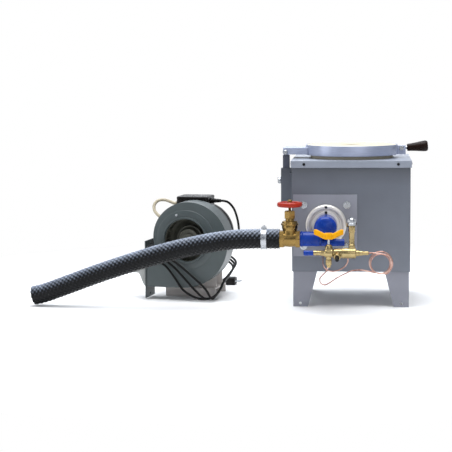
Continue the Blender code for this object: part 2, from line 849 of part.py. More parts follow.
def make_legs(parent):
    top = LEG_HEIGHT - CLEARANCE
    for name, side_x, side_y in leg_corners():
        corner = Vector((side_x * (CASE_WIDTH / 2 - LEG_INSET), side_y * (CASE_DEPTH / 2 - LEG_INSET), 0))
        in_x = Vector((-side_x, 0, 0))
        in_y = Vector((0, -side_y, 0))
        faces = []
        for along, inward in ((in_x, in_y), (in_y, in_x)):
            outline = [
                corner,
                corner + along * LEG_FOOT_WIDTH,
                corner + along * LEG_TOP_WIDTH + UP * top,
                corner + UP * top,
            ]
            faces.append(prism(outline, inward * LEG_SHEET))
        leg = piece(name, faces[0], "leg_paint", parent, smooth=False)
        fuse(leg, faces[1])
        low = corner + UP * (top - LEG_SHEET)
        high = corner + in_x * LEG_TAB + in_y * LEG_TAB + UP * top
        corners = list(zip(low, high))
        fuse(leg, block([min(c) for c in corners], [max(c) for c in corners]))
        at = corner + UP * LEG_HOLE_HEIGHT
        bores = [
            hole(at + in_x * LEG_HOLE_INSET, in_y, LEG_SHEET, LEG_HOLE_RADIUS),
            hole(at + in_y * LEG_HOLE_INSET, in_x, LEG_SHEET, LEG_HOLE_RADIUS),
        ]
        cut(leg, together(bores))


def make_refractory(parent):
    bottom = PAN_TOP + CLEARANCE
    half_w = CASE_WIDTH / 2 - CASE_SHEET - PAN_SHEET - 2 * CLEARANCE
    half_d = CASE_DEPTH / 2 - CASE_SHEET - PAN_SHEET - 2 * CLEARANCE
    top = COVER_TOP - COVER_SHEET - CLEARANCE
    fill = block((-half_w, -half_d, bottom), (half_w, half_d, top))
    insulation = piece("insulation", fill, "refractory", parent, smooth=False)
    start = (0, 0, bottom - CUT_OVERRUN)
    cut(insulation, rod(LINER_RADIUS + CLEARANCE, start, (0, 0, top + CUT_OVERRUN), ROUND_STEPS))
    cut(insulation, burner_bore())
    profile = [(bottom, CHAMBER_RADIUS), (bottom, LINER_RADIUS), (LINER_TOP, LINER_RADIUS)]
    profile.append((LINER_TOP, CHAMBER_RADIUS))
    liner = piece("chamber_liner", turned(profile, ring=True), "refractory", parent)
    cut(liner, burner_bore())
    hearth_radius = CHAMBER_RADIUS - CLEARANCE
    hearth_radius *= math.cos(math.pi / ROUND_STEPS)
    hearth = rod(hearth_radius, (0, 0, bottom), (0, 0, bottom + HEARTH_THICKNESS), ROUND_STEPS)
    piece("hearth_block", hearth, "hot_face", parent)


# Lid


def make_lid(post, lid):
    lip_inner = LID_RADIUS - LID_BAND - LID_LIP
    profile = [
        (LID_BOTTOM, lip_inner),
        (LID_BOTTOM, LID_RADIUS),
        (LID_TOP, LID_RADIUS),
        (LID_TOP, LID_RADIUS - LID_BAND),
        (LID_BOTTOM + LID_BAND, LID_RADIUS - LID_BAND),
        (LID_BOTTOM + LID_BAND, lip_inner),
    ]
    band = piece("lid_band", turned(profile, ring=True, steps=BIG_STEPS), "lid_steel", lid)
    wide = LID_RADIUS - LID_BAND - CLEARANCE
    narrow = lip_inner - CLEARANCE
    shoulder = LID_BOTTOM + LID_BAND + CLEARANCE
    profile = [
        (LID_BOTTOM, VENT_RADIUS),
        (LID_BOTTOM, narrow),
        (shoulder, narrow),
        (shoulder, wide),
        (LID_TOP, wide),
        (LID_TOP, VENT_RADIUS),
    ]
    piece("lid_refractory", turned(profile, ring=True, steps=BIG_STEPS), "refractory", lid)
    make_arm(lid)
    make_post(post)
    make_handle(lid, band)


def band_cutter(low, high):
    return rod(LID_RADIUS + CLEARANCE, (0, 0, low - CUT_OVERRUN), (0, 0, high + CUT_OVERRUN), BIG_STEPS)


def make_arm(lid):
    half = ARM_WIDTH / 2
    left = HINGE_X - ARM_TAIL
    bottom = ARM_TOP - ARM_HEIGHT
    arm = block((left, -half, bottom), (-CHAMBER_RADIUS, half, ARM_TOP))
    arm = piece("lid_arm", arm, "lid_steel", lid)
    inside_low = (left - CUT_OVERRUN, -half + ARM_SHEET, bottom - CUT_OVERRUN)
    cut(arm, block(inside_low, (0, half - ARM_SHEET, ARM_TOP - ARM_SHEET)))
    cut(arm, band_cutter(bottom, ARM_TOP))
    reach = half + HINGE_HEAD_HEIGHT
    bore = HINGE_PIN_RADIUS + CLEARANCE
    cut(arm, rod(bore, (HINGE_X, -reach, HINGE_Z), (HINGE_X, reach, HINGE_Z)))
    profile = [
        (-HINGE_HEAD_HEIGHT, 0),
        (-HINGE_HEAD_HEIGHT, BOLT_HEAD_RADIUS),
        (0, BOLT_HEAD_RADIUS),
        (0, HINGE_PIN_RADIUS),
        (ARM_WIDTH + 2 * CLEARANCE, HINGE_PIN_RADIUS),
        (ARM_WIDTH + 2 * CLEARANCE, BOLT_HEAD_RADIUS),
        (ARM_WIDTH + 2 * CLEARANCE + HINGE_HEAD_HEIGHT, BOLT_HEAD_RADIUS),
        (ARM_WIDTH + 2 * CLEARANCE + HINGE_HEAD_HEIGHT, 0),
    ]
    start = (HINGE_X, -half - CLEARANCE, HINGE_Z)
    piece("hinge_pin", turned(profile, start, BACK, SMALL_STEPS), "zinc", lid)


def make_post(post):
    half = POST_WIDTH / 2
    shoulder = HINGE_Z - POST_SHOULDER
    body = block((HINGE_X - half, -half, POST_BOTTOM), (HINGE_X + half, half, shoulder))
    thing = piece("lid_post", body, "post_steel", post, smooth=False)
    tongue_half = TONGUE_WIDTH / 2
    low = (HINGE_X - tongue_half, -half, shoulder - half)
    fuse(thing, block(low, (HINGE_X + tongue_half, half, HINGE_Z)))
    barrel_half = ARM_WIDTH / 2 - ARM_SHEET - CLEARANCE
    ends = [(HINGE_X, -barrel_half, HINGE_Z), (HINGE_X, barrel_half, HINGE_Z)]
    fuse(thing, rod(HINGE_BARREL_RADIUS, ends[0], ends[1]))
    reach = barrel_half + CUT_OVERRUN
    bore = HINGE_PIN_RADIUS + CLEARANCE
    cut(thing, rod(bore, (HINGE_X, -reach, HINGE_Z), (HINGE_X, reach, HINGE_Z)))


def sleeve_half():
    return POST_WIDTH / 2 + SLIDE_CLEARANCE + SLEEVE_WALL


def make_sleeve(root, clamp):
    half = sleeve_half()
    sleeve_low = (HINGE_X - half, -half, SLEEVE_BOTTOM)
    sleeve_high = (HINGE_X + half, half, SLEEVE_TOP)
    sleeve = piece("post_sleeve", block(sleeve_low, sleeve_high), "case_paint", root, False)
    middle = (SLEEVE_TOP + SLEEVE_BOTTOM) / 2
    pad_left = HINGE_X + POST_WIDTH / 2 + SLIDE_CLEARANCE
    pad_right = -CASE_WIDTH / 2 - CLEARANCE
    pad_y = SLEEVE_PAD_WIDTH / 2
    pad_z = SLEEVE_PAD_HEIGHT / 2
    fuse(sleeve, block((pad_left, -pad_y, middle - pad_z), (pad_right, pad_y, middle + pad_z)))
    bore = POST_WIDTH / 2 + SLIDE_CLEARANCE
    low = (HINGE_X - bore, -bore, SLEEVE_BOTTOM - CUT_OVERRUN)
    cut(sleeve, block(low, (HINGE_X + bore, bore, SLEEVE_TOP + CUT_OVERRUN)))
    wall_left = HINGE_X - half
    cut(sleeve, hole((wall_left, 0, CLAMP_HEIGHT), RIGHT, SLEEVE_WALL, CLAMP_RADIUS))
    knob_face = wall_left - CLEARANCE
    start = (knob_face, 0, CLAMP_HEIGHT)
    tip = HINGE_X - POST_WIDTH / 2 - CLEARANCE
    shank_start = (knob_face - KNOB_LENGTH / 2, 0, CLAMP_HEIGHT)
    shank = rod(CLAMP_RADIUS, shank_start, (tip, 0, CLAMP_HEIGHT))
    knob = piece("clamp_screw", shank, "zinc", clamp)
    fuse(knob, knob_body(start))


def knob_body(start):
    """A lobed hand knob: its outline swells once for each lobe."""
    outline = []
    points = KNOB_LOBES * 6
    for i in range(points):
        angle = PI_TURN * i / points
        radius = KNOB_RADIUS * (1 - 0.14 * (1 - math.cos(KNOB_LOBES * angle)) / 2)
        outline.append(Vector(start) + BACK * (radius * math.cos(angle)) + UP * (radius * math.sin(angle)))
    return prism(outline, -RIGHT * KNOB_LENGTH)


def make_handle(lid, band):
    bottom = LID_BOTTOM
    lug_low = (LID_RADIUS - LID_BAND / 2, -LUG_THICKNESS / 2, bottom)
    lug_high = (LID_RADIUS + LUG_LENGTH, LUG_THICKNESS / 2, bottom + LUG_RISE)
    fuse(band, block(lug_low, lug_high))
    bolt_x = LID_RADIUS + LUG_BOLT_INSET
    bolt_z = bottom + LUG_BOLT_RISE
    front = -LUG_THICKNESS / 2 - CLEARANCE
    cut(band, hole((bolt_x, front, bolt_z), BACK, LUG_THICKNESS, BOLT_RADIUS))
    rod_y = LUG_THICKNESS / 2 + CLEARANCE + ROD_RADIUS
    tilt = math.radians(ROD_TILT_DEG)
    way = Vector((math.cos(tilt), 0, math.sin(tilt)))
    hub = Vector((bolt_x, rod_y, bolt_z))
    start = hub - way * ROD_TAIL
    end = hub + way * (GRIP_START + GRIP_LENGTH - GRIP_END_WALL - CLEARANCE)
    handle = piece("handle_rod", rod(ROD_RADIUS, start, end), "zinc", lid)
    bolt_end = rod_y + ROD_RADIUS / 2
    bolt_start = (bolt_x, front, bolt_z)
    bolt_length = bolt_end - front
    bolt = screw(bolt_start, BACK, bolt_length, BOLT_RADIUS, BOLT_HEAD_RADIUS, BOLT_HEAD_HEIGHT)
    fuse(handle, bolt)
    bore = ROD_RADIUS + CLEARANCE
    profile = [
        (GRIP_LENGTH - GRIP_END_WALL, 0),
        (GRIP_LENGTH - GRIP_END_WALL, bore),
        (0, bore),
        (0, GRIP_SMALL_RADIUS * 0.9),
        (GRIP_LENGTH * 0.03, GRIP_SMALL_RADIUS),
        (GRIP_LENGTH * 0.5, (GRIP_SMALL_RADIUS + GRIP_LARGE_RADIUS) / 2),
        (GRIP_LENGTH * 0.85, GRIP_LARGE_RADIUS),
        (GRIP_LENGTH * 0.95, GRIP_LARGE_RADIUS * 0.94),
        (GRIP_LENGTH, GRIP_LARGE_RADIUS * 0.7),
        (GRIP_LENGTH, 0),
    ]
    piece("handle_grip", turned(profile, hub + way * GRIP_START, way, ROUND_STEPS), "grip_wood", lid)


# Burner


def make_burner(root):
    plate_low = (PLATE_LEFT, PLATE_FRONT, PLATE_BOTTOM)
    plate_high = (PLATE_RIGHT, PLATE_FRONT + PLATE_SHEET, PLATE_TOP)
    plate = piece("burner_plate", block(plate_low, plate_high), "plate_paint", root, False)
    bores = [hole(p, BACK, PLATE_SHEET, BOLT_RADIUS) for p in burner_bolt_places()]
    bores.append(burner_bore())
    bores.append(copper_bore(LEAD_ENTRY_X, LEAD_ENTRY_Z))
    bores.append(copper_bore(PILOT_ENTRY_X, PILOT_ENTRY_Z))
    cut(plate, together(bores))
    length = PLATE_SHEET + CASE_SHEET + 2 * CLEARANCE
    profile = [
        (-WASHER_THICKNESS - BOLT_HEAD_HEIGHT, 0),
        (-WASHER_THICKNESS - BOLT_HEAD_HEIGHT, BOLT_HEAD_RADIUS),
        (-WASHER_THICKNESS, BOLT_HEAD_RADIUS),
        (-WASHER_THICKNESS, WASHER_RADIUS),
        (0, WASHER_RADIUS),
        (0, BOLT_RADIUS),
        (length, BOLT_RADIUS),
        (length, 0),
    ]
    names = ("lower_left", "upper_left", "lower_right", "upper_right")
    for name, place in zip(names, burner_bolt_places()):
        bolt = turned(profile, place - BACK * CLEARANCE, BACK, SMALL_STEPS)
        piece(f"plate_bolt_{name}", bolt, "zinc", root)
    face = PLATE_FRONT - CLEARANCE
    neck_bore = TUBE_RADIUS + CLEARANCE
    step = FLANGE_DEPTH - FLANGE_RECESS
    profile = [
        (0, neck_bore),
        (0, FLANGE_RADIUS),
        (FLANGE_DEPTH - FLANGE_LIP / 3, FLANGE_RADIUS),
        (FLANGE_DEPTH, FLANGE_RADIUS - FLANGE_LIP / 3),
        (FLANGE_DEPTH, FLANGE_RADIUS - FLANGE_LIP),
        (step, FLANGE_RADIUS - FLANGE_LIP - FLANGE_RECESS / 2),
        (step, FLANGE_RING_RADIUS),
        (FLANGE_DEPTH, FLANGE_RING_RADIUS - FLANGE_RECESS / 2),
        (FLANGE_DEPTH, neck_bore),
    ]
    flange = turned(profile, (BURNER_X, face, BURNER_Z), -BACK, ROUND_STEPS, ring=True)
    flange = piece("burner_flange", flange, "burner_casting", root)
    seats = flange_screw_seats(face)
    cut(flange, together([hole(p, BACK, FLANGE_RECESS, FLANGE_SCREW_RADIUS) for p in seats]))
    for name, place in zip(("outer", "inner"), seats):
        head = FLANGE_SCREW_RADIUS * FLANGE_HEAD_SHARE
        front = place - BACK * CLEARANCE
        shape = screw(front, BACK, FLANGE_RECESS, FLANGE_SCREW_RADIUS, head, SCREW_HEAD_HEIGHT)
        piece(f"flange_screw_{name}", shape, "black_steel", root)
    tube_front = face - FLANGE_DEPTH / 2 + CLEARANCE
    tube_back = -math.sqrt(CHAMBER_RADIUS**2 - BURNER_X**2) - TUBE_SETBACK - LINER_WALL / 3
    start = (BURNER_X, tube_front, BURNER_Z)
    nozzle = pipe(TUBE_RADIUS, TUBE_RADIUS - TUBE_WALL, start, (BURNER_X, tube_back, BURNER_Z))
    piece("burner_tube", nozzle, "stainless", root)
    make_barrel(root, face)


def flange_screw_seats(face):
    y = face - FLANGE_DEPTH
    ring = FLANGE_RADIUS - FLANGE_LIP / 2 - FLANGE_SCREW_RADIUS / 4
    inner = BARREL_RADIUS + FLANGE_SCREW_RADIUS * FLANGE_HEAD_SHARE + CLEARANCE
    return [Vector((BURNER_X, y, BURNER_Z + ring)), Vector((BURNER_X, y, BURNER_Z + inner))]


def make_barrel(root, face):
    """The blue air body: a domed barrel on the burner's axis with the air pipe let into its underside."""
    back = face - FLANGE_DEPTH - CLEARANCE
    front = FRONT_FACE - BARREL_FRONT
    spigot_end = face - FLANGE_DEPTH / 2
    neck = TUBE_RADIUS
    profile = [(0, 0), (0, neck), (spigot_end - back, neck), (spigot_end - back, BARREL_RADIUS)]
    length = spigot_end - front
    for i in range(5):
        angle = math.pi / 2 * i / 4
        height = length - DOME_ROUND * (1 - math.sin(angle))
        profile.append((height, BARREL_RADIUS - DOME_ROUND * (1 - math.cos(angle))))
    profile.append((length + DOME_ROUND / 5, 0))
    barrel_start = (BURNER_X, spigot_end, BURNER_Z)
    barrel = piece("burner_barrel", turned(profile, barrel_start, -BACK), "blue_enamel", root)
    left = VALVE_X + VALVE_LENGTH / 2 + CLEARANCE
    run = [(0, 0), (0, RUN_RADIUS)]
    run_length = RUN_RIGHT - left
    for i in range(4):
        angle = math.pi / 2 * i / 4
        run.append((run_length - RUN_RADIUS * (1 - math.sin(angle)) * 0.6, RUN_RADIUS * math.cos(angle)))
    run.append((run_length, 0))
    fuse(barrel, turned(run, (left, AIR_Y, AIR_Z), RIGHT))
    stub_z = AIR_Z - STUB_RADIUS
    fuse(barrel, rod(STUB_RADIUS, (RUN_RIGHT - RUN_RADIUS, AIR_Y, stub_z), (STUB_RIGHT, AIR_Y, stub_z)))
    bore_front = front + DOME_ROUND
    start = (BURNER_X, spigot_end + CUT_OVERRUN, BURNER_Z)
    bore = TUBE_RADIUS - BARREL_WALL
    cut(barrel, rod(bore, start, (BURNER_X, bore_front, BURNER_Z)))
    run_bore = RUN_RADIUS - RUN_WALL
    cut(barrel, rod(run_bore, (left - CUT_OVERRUN, AIR_Y, AIR_Z), (RUN_RIGHT - run_bore, AIR_Y, AIR_Z)))


# Air valve


def make_air_valve(root, spindle, wedge):
    left = VALVE_X - VALVE_LENGTH / 2
    right = VALVE_X + VALVE_LENGTH / 2
    waist = VALVE_WAIST_RADIUS
    slope = VALVE_HEX_RADIUS - waist
    profile = [
        (0, 0),
        (0, VALVE_HEX_RADIUS),
        (VALVE_HEX, VALVE_HEX_RADIUS),
        (VALVE_HEX + slope, waist),
        (VALVE_LENGTH - VALVE_HEX - slope, waist),
        (VALVE_LENGTH - VALVE_HEX, VALVE_HEX_RADIUS),
        (VALVE_LENGTH, VALVE_HEX_RADIUS),
        (VALVE_LENGTH, 0),
    ]
    run = turned(profile, (left, AIR_Y, AIR_Z), RIGHT, ROUND_STEPS)
    body = piece("air_valve_body", run, "brass", root)
    neck_top = (VALVE_X, AIR_Y, VALVE_NECK_TOP)
    fuse(body, rod(VALVE_NECK_RADIUS, (VALVE_X, AIR_Y, AIR_Z), neck_top, ROUND_STEPS))
    bore = RUN_RADIUS - RUN_WALL
    start = (left - CUT_OVERRUN, AIR_Y, AIR_Z)
    cut(body, rod(bore, start, (right + CUT_OVERRUN, AIR_Y, AIR_Z)))
    cut(body, wedge_slot(VALVE_NECK_TOP + CUT_OVERRUN))
    bonnet_bottom = VALVE_NECK_TOP + CLEARANCE
    stem_bore = STEM_RADIUS + 2 * CLEARANCE
    profile = [
        (bonnet_bottom, stem_bore),
        (bonnet_bottom, COLLAR_RADIUS),
        (bonnet_bottom + COLLAR_HEIGHT / 3, COLLAR_RADIUS),
        (bonnet_bottom + COLLAR_HEIGHT / 2, VALVE_NECK_RADIUS),
        (bonnet_bottom + COLLAR_HEIGHT, VALVE_NECK_RADIUS),
        (bonnet_bottom + COLLAR_HEIGHT, BONNET_NECK_RADIUS),
        (PACKING_BOTTOM, BONNET_NECK_RADIUS),
        (PACKING_BOTTOM, stem_bore),
    ]
    bonnet = turned(profile, (VALVE_X, AIR_Y, 0), UP, ROUND_STEPS, ring=True)
    bonnet = piece("air_valve_bonnet", bonnet, "brass", root)
    cut(bonnet, wedge_slot(AIR_Z + WEDGE_TRAVEL + WEDGE_RADIUS + 2 * CLEARANCE))
    nut_low = Vector((VALVE_X, AIR_Y, PACKING_BOTTOM + CLEARANCE))
    nut_high = Vector((VALVE_X, AIR_Y, PACKING_TOP))
    nut = rod(PACKING_RADIUS, nut_low, nut_high, HEX_STEPS, 0.5)
    nut = piece("packing_nut", nut, "brass", root, smooth=False)
    cut(nut, rod(stem_bore, nut_low - UP * CUT_OVERRUN, nut_high + UP * CUT_OVERRUN))
    disc_half = WEDGE_THICKNESS / 2
    disc_left = (VALVE_X - disc_half, AIR_Y, AIR_Z)
    disc_right = (VALVE_X + disc_half, AIR_Y, AIR_Z)
    disc = rod(WEDGE_RADIUS, disc_left, disc_right, ROUND_STEPS)
    gate = piece("gate_wedge", disc, "brass", wedge)
    low = (VALVE_X, AIR_Y, AIR_Z - WEDGE_RADIUS - CUT_OVERRUN)
    cut(gate, rod(stem_bore, low, (VALVE_X, AIR_Y, AIR_Z + WEDGE_RADIUS + CUT_OVERRUN)))
    make_handwheel(spindle)


def wedge_slot(top):
    half_x = WEDGE_THICKNESS / 2 + CLEARANCE
    half_y = WEDGE_RADIUS + CLEARANCE
    low = (VALVE_X - half_x, AIR_Y - half_y, AIR_Z - half_y)
    return block(low, (VALVE_X + half_x, AIR_Y + half_y, top))


def make_handwheel(spindle):
    hub_bottom = WHEEL_Z - WHEEL_HUB_HEIGHT / 2
    hub_top = WHEEL_Z + WHEEL_HUB_HEIGHT / 2
    nut_top = hub_top + CLEARANCE + WHEEL_NUT_HEIGHT
    profile = [
        (STEM_BOTTOM, 0),
        (STEM_BOTTOM, STEM_RADIUS),
        (hub_top + CLEARANCE, STEM_RADIUS),
        (hub_top + CLEARANCE, WHEEL_NUT_RADIUS),
        (nut_top, WHEEL_NUT_RADIUS),
        (nut_top, 0),
    ]
    stem = turned(profile, (VALVE_X, AIR_Y, 0), UP, TINY_STEPS)
    piece("valve_stem", stem, "brass", spindle)
    ring_radius = WHEEL_RADIUS - WHEEL_RIM_RADIUS
    profile = []
    for i in range(8):
        angle = PI_TURN * i / 8
        height = WHEEL_Z + WHEEL_RIM_RADIUS * math.sin(angle)
        profile.append((height, ring_radius + WHEEL_RIM_RADIUS * math.cos(angle)))
    rim = turned(profile, (VALVE_X, AIR_Y, 0), UP, ROUND_STEPS, ring=True)
    wheel = piece("handwheel", rim, "red_paint", spindle)
    spokes = []
    for i in range(WHEEL_SPOKES):
        spoke = block(
            (WHEEL_HUB_RADIUS / 2, -SPOKE_WIDTH / 2, WHEEL_Z - SPOKE_THICKNESS / 2),
            (ring_radius, SPOKE_WIDTH / 2, WHEEL_Z + SPOKE_THICKNESS / 2),
        )
        turn = Matrix.Rotation(PI_TURN * i / WHEEL_SPOKES, 4, "Z")
        spokes.append(spoke.moved(Matrix.Translation((VALVE_X, AIR_Y, 0)) @ turn))
    hub = rod(WHEEL_HUB_RADIUS, (VALVE_X, AIR_Y, hub_bottom), (VALVE_X, AIR_Y, hub_top))
    fuse(wheel, hub)
    for spoke in spokes:
        fuse(wheel, spoke)
    bore = STEM_RADIUS + CLEARANCE
    bore_top = (VALVE_X, AIR_Y, hub_top + CUT_OVERRUN)
    cut(wheel, rod(bore, (VALVE_X, AIR_Y, hub_bottom - CUT_OVERRUN), bore_top))


# Air hose


def make_hose(root):
    valve_left = VALVE_X - VALVE_LENGTH / 2
    start_x = valve_left - CLEARANCE
    route = [(start_x, AIR_Y, AIR_Z), *from_face(HOSE_ROUTE)]
    smooth = smooth_line(route, HOSE_RIB_PITCH / 2)
    radii = [HOSE_RADIUS - (HOSE_RIB_DEPTH if i % 2 else 0) for i in range(len(smooth))]
    hose = piece("air_hose", tube_shape(smooth, radii, HOSE_STEPS), "hose_rubber", root)
    core = smooth_line(route, HOSE_STEP)
    first = Vector(core[0]) + RIGHT * CUT_OVERRUN
    last = core[-1] + (core[-1] - core[-2]) / HOSE_STEP * CUT_OVERRUN
    core = np.vstack([np.array(first), core[1:-1], last])
    cut(hose, tube_shape(core, HOSE_BORE_RADIUS, HOSE_STEPS))
    print(f"air hose length {line_length(smooth):.3f} m")
    end = (valve_left - NIPPLE_REACH, AIR_Y, AIR_Z)
    inner = NIPPLE_RADIUS - NIPPLE_WALL
    nipple = pipe(NIPPLE_RADIUS, inner, (start_x, AIR_Y, AIR_Z), end, ROUND_STEPS)
    piece("hose_nipple", nipple, "brass", root)
    middle = valve_left - NIPPLE_REACH * CLAMP_SHARE
    inner = (HOSE_RADIUS + CLEARANCE) / math.cos(math.pi / ROUND_STEPS)
    left = (middle - CLAMP_WIDTH / 2, AIR_Y, AIR_Z)
    right = (middle + CLAMP_WIDTH / 2, AIR_Y, AIR_Z)
    clamp = piece("hose_clamp", pipe(inner + CLAMP_BAND, inner, left, right), "zinc", root)
    box_low = (left[0] + CLAMP_BAND, AIR_Y - CLAMP_BOX_LENGTH / 2, AIR_Z + inner + CLAMP_BAND / 2)
    box_high = (right[0] - CLAMP_BAND, AIR_Y + CLAMP_BOX_LENGTH / 2, AIR_Z + inner + CLAMP_BOX_HEIGHT)
    fuse(clamp, block(box_low, box_high))


# Gas train


def along_x(profile, left, steps=SMALL_STEPS, phase=0.0):
    return turned(profile, (left, GAS_Y, GAS_Z), RIGHT, steps, phase=phase)


def bar_x(radius, left, right, steps=SMALL_STEPS, phase=0.0):
    return rod(radius, (left, GAS_Y, GAS_Z), (right, GAS_Y, GAS_Z), steps, phase)


def make_gas_train(root, cock, button):
    piece("gas_inlet_cap", bar_x(CAP_RADIUS, CAP_LEFT, CAP_RIGHT - CLEARANCE), "blue_enamel", root)
    make_gas_cock(root, cock)
    make_safety_valve(root, button)
    make_riser(root)
    make_copper(root)


def make_gas_cock(root, cock):
    collar = COCK_LEFT - GAS_NIPPLE_HEX_RADIUS - CAP_RIGHT
    run = [
        (0, 0),
        (0, GAS_NIPPLE_RADIUS),
        (collar, GAS_NIPPLE_RADIUS),
        (collar, GAS_NIPPLE_HEX_RADIUS),
        (COCK_LEFT - CAP_RIGHT, GAS_NIPPLE_HEX_RADIUS),
        (COCK_LEFT - CAP_RIGHT, COCK_RADIUS),
        (COCK_RIGHT - CAP_RIGHT, COCK_RADIUS),
        (COCK_RIGHT - CAP_RIGHT, 0),
    ]
    body = piece("gas_cock_body", along_x(run, CAP_RIGHT), "brass", root)
    centre = Vector((COCK_STEM_X, GAS_Y, GAS_Z))
    foot = GAS_Z - COCK_LEG_BOTTOM
    dome_height = COCK_DOME_TOP - GAS_Z
    stack = [
        (-foot, 0),
        (-foot, COCK_LEG_TIP_RADIUS),
        (-foot + COCK_RADIUS / 2, COCK_LEG_TIP_RADIUS),
        (-foot + COCK_RADIUS, COCK_LEG_RADIUS),
        (0, COCK_LEG_RADIUS),
        (0, COCK_RADIUS * 0.93),
        (dome_height * 0.75, COCK_RADIUS * 0.85),
        (dome_height * 0.92, COCK_RADIUS * 0.68),
        (dome_height, COCK_RADIUS * 0.5),
        (dome_height, 0),
    ]
    fuse(body, turned(stack, centre, UP, SMALL_STEPS, phase=0.5))
    flat_share = math.cos(math.pi / SMALL_STEPS)
    ball_seat = (COCK_BALL_RADIUS + CLEARANCE) / flat_share
    cut(body, turned(ball_profile(ball_seat), centre, UP, SMALL_STEPS, phase=0.25))
    stem_bore = (COCK_STEM_RADIUS + CLEARANCE) / flat_share
    cut(body, rod(stem_bore, centre, centre + UP * (dome_height + CUT_OVERRUN)))
    cut(body, bar_x(COCK_BORE_RADIUS, CAP_RIGHT - CUT_OVERRUN, COCK_RIGHT + CUT_OVERRUN))
    top = HANDLE_HUB_TOP + CLEARANCE
    ball = turned(ball_profile(COCK_BALL_RADIUS), centre, UP, SMALL_STEPS)
    stem = piece("gas_cock_stem", ball, "zinc", cock)
    stem_height = top + HANDLE_NUT_HEIGHT - GAS_Z
    fuse(stem, rod(COCK_STEM_RADIUS, centre, centre + UP * stem_height, TINY_STEPS))
    nut_place = Vector((COCK_STEM_X, GAS_Y, top))
    fuse(stem, rod(HANDLE_NUT_RADIUS, nut_place, nut_place + UP * HANDLE_NUT_HEIGHT, HEX_STEPS))
    half_bore = COCK_BALL_RADIUS + CUT_OVERRUN
    cut(stem, rod(COCK_BORE_RADIUS, centre - RIGHT * half_bore, centre + RIGHT * half_bore, TINY_STEPS))
    make_gas_handle(cock)


def ball_profile(radius):
    rows = 8
    profile = [(-radius, 0)]
    for i in range(1, rows):
        angle = math.pi * i / rows
        profile.append((-radius * math.cos(angle), radius * math.sin(angle)))
    return profile + [(radius, 0)]


def make_gas_handle(cock):
    """The butterfly handle: a hub and two wings that sweep up and out."""
    hub_low = (COCK_STEM_X, GAS_Y, HANDLE_HUB_BOTTOM)
    hub_high = (COCK_STEM_X, GAS_Y, HANDLE_HUB_TOP)
    handle = piece("gas_handle", rod(HANDLE_HUB_RADIUS, hub_low, hub_high), "yellow_coat", cock)
    root_x = HANDLE_HUB_RADIUS * WING_ROOT_SHARE
    for side in (-1, 1):
        outline = []
        low = HANDLE_HUB_BOTTOM + WING_THICKNESS
        tips = [
            (root_x, low),
            (HANDLE_HUB_RADIUS, low),
            (WING_SPAN * 0.62, low + WING_RISE * 0.30),
            (WING_SPAN, low + WING_RISE * 0.55),
            (WING_SPAN, low + WING_RISE * 1.30),
            (WING_SPAN * 0.86, low + WING_RISE * 1.36),
            (WING_SPAN * 0.55, low + WING_RISE * 0.95),
            (HANDLE_HUB_RADIUS, low + WING_RISE * 0.45),
            (root_x, low + WING_RISE * 0.42),
        ]
        for reach, height in tips:
            outline.append((COCK_STEM_X + side * reach, GAS_Y - WING_WIDTH / 2, height))
        fuse(handle, prism(outline, BACK * WING_WIDTH))
    bore = COCK_STEM_RADIUS + CLEARANCE
    start = (COCK_STEM_X, GAS_Y, HANDLE_HUB_BOTTOM - CUT_OVERRUN)
    cut(handle, rod(bore, start, (COCK_STEM_X, GAS_Y, HANDLE_HUB_TOP + CUT_OVERRUN), TINY_STEPS))


def button_way():
    tilt = math.radians(BUTTON_TILT_DEG)
    return Vector((0, -math.cos(tilt), -math.sin(tilt)))


def make_safety_valve(root, button):
    left = COCK_RIGHT + CLEARANCE
    waist = MAGNET_LEFT - left
    length = MAGNET_RIGHT - left
    chamfer = MAGNET_RADIUS / 10
    nut_length = GLAND_NUT_RIGHT - left
    tail_length = TAIL_NUT_RIGHT - left
    run = [
        (0, 0),
        (0, SAFETY_RADIUS),
        (waist, SAFETY_RADIUS),
        (waist + chamfer, MAGNET_RADIUS),
        (length - chamfer, MAGNET_RADIUS),
        (length, MAGNET_RADIUS * 0.85),
        (length, GLAND_NUT_RADIUS),
        (nut_length, GLAND_NUT_RADIUS * 0.9),
        (nut_length, TAIL_NUT_RADIUS),
        (tail_length, TAIL_NUT_RADIUS * 0.8),
        (tail_length, 0),
    ]
    body = piece("safety_valve_body", along_x(run, left), "brass", root)
    centre = Vector((SAFETY_X, GAS_Y, GAS_Z))
    way = button_way()
    boss_radius = min(BOSS_RADIUS, SAFETY_X - left - CLEARANCE)
    fuse(body, rod(boss_radius, centre, centre + way * BOSS_REACH, phase=0.3))
    bore = PLUNGER_RADIUS + CLEARANCE
    bottom = centre + way * (PLUNGER_SEAT - PLUNGER_TRAVEL - CLEARANCE)
    cut(body, rod(bore, bottom, centre + way * (BOSS_REACH + CUT_OVERRUN)))
    length = BOSS_REACH - PLUNGER_SEAT + PLUNGER_STAND
    profile = [
        (0, 0),
        (0, PLUNGER_RADIUS),
        (length - PLUNGER_TIP_LENGTH, PLUNGER_RADIUS),
        (length - PLUNGER_TIP_LENGTH, PLUNGER_TIP_RADIUS),
        (length, PLUNGER_TIP_RADIUS),
        (length, 0),
    ]
    plunger = turned(profile, centre + way * PLUNGER_SEAT, way, SMALL_STEPS)
    piece("reset_button", plunger, "button_plastic", button)
    seat_bore = COPPER_RADIUS + CLEARANCE
    cut(body, bar_x(seat_bore, LEAD_START[0][0] - CLEARANCE, TAIL_NUT_RIGHT + CUT_OVERRUN, TINY_STEPS))
    pilot = Vector(from_face(PILOT_ROUTE)[0])
    cut(body, rod(seat_bore, pilot + UP * CLEARANCE, pilot - UP * MAGNET_RADIUS, TINY_STEPS))
    riser = Vector((RISER_X, GAS_Y, GAS_Z))
    seat = riser + UP * (MAGNET_RADIUS / 2)
    cut(body, rod(RISER_RADIUS + CLEARANCE, seat, riser + UP * 2 * MAGNET_RADIUS))


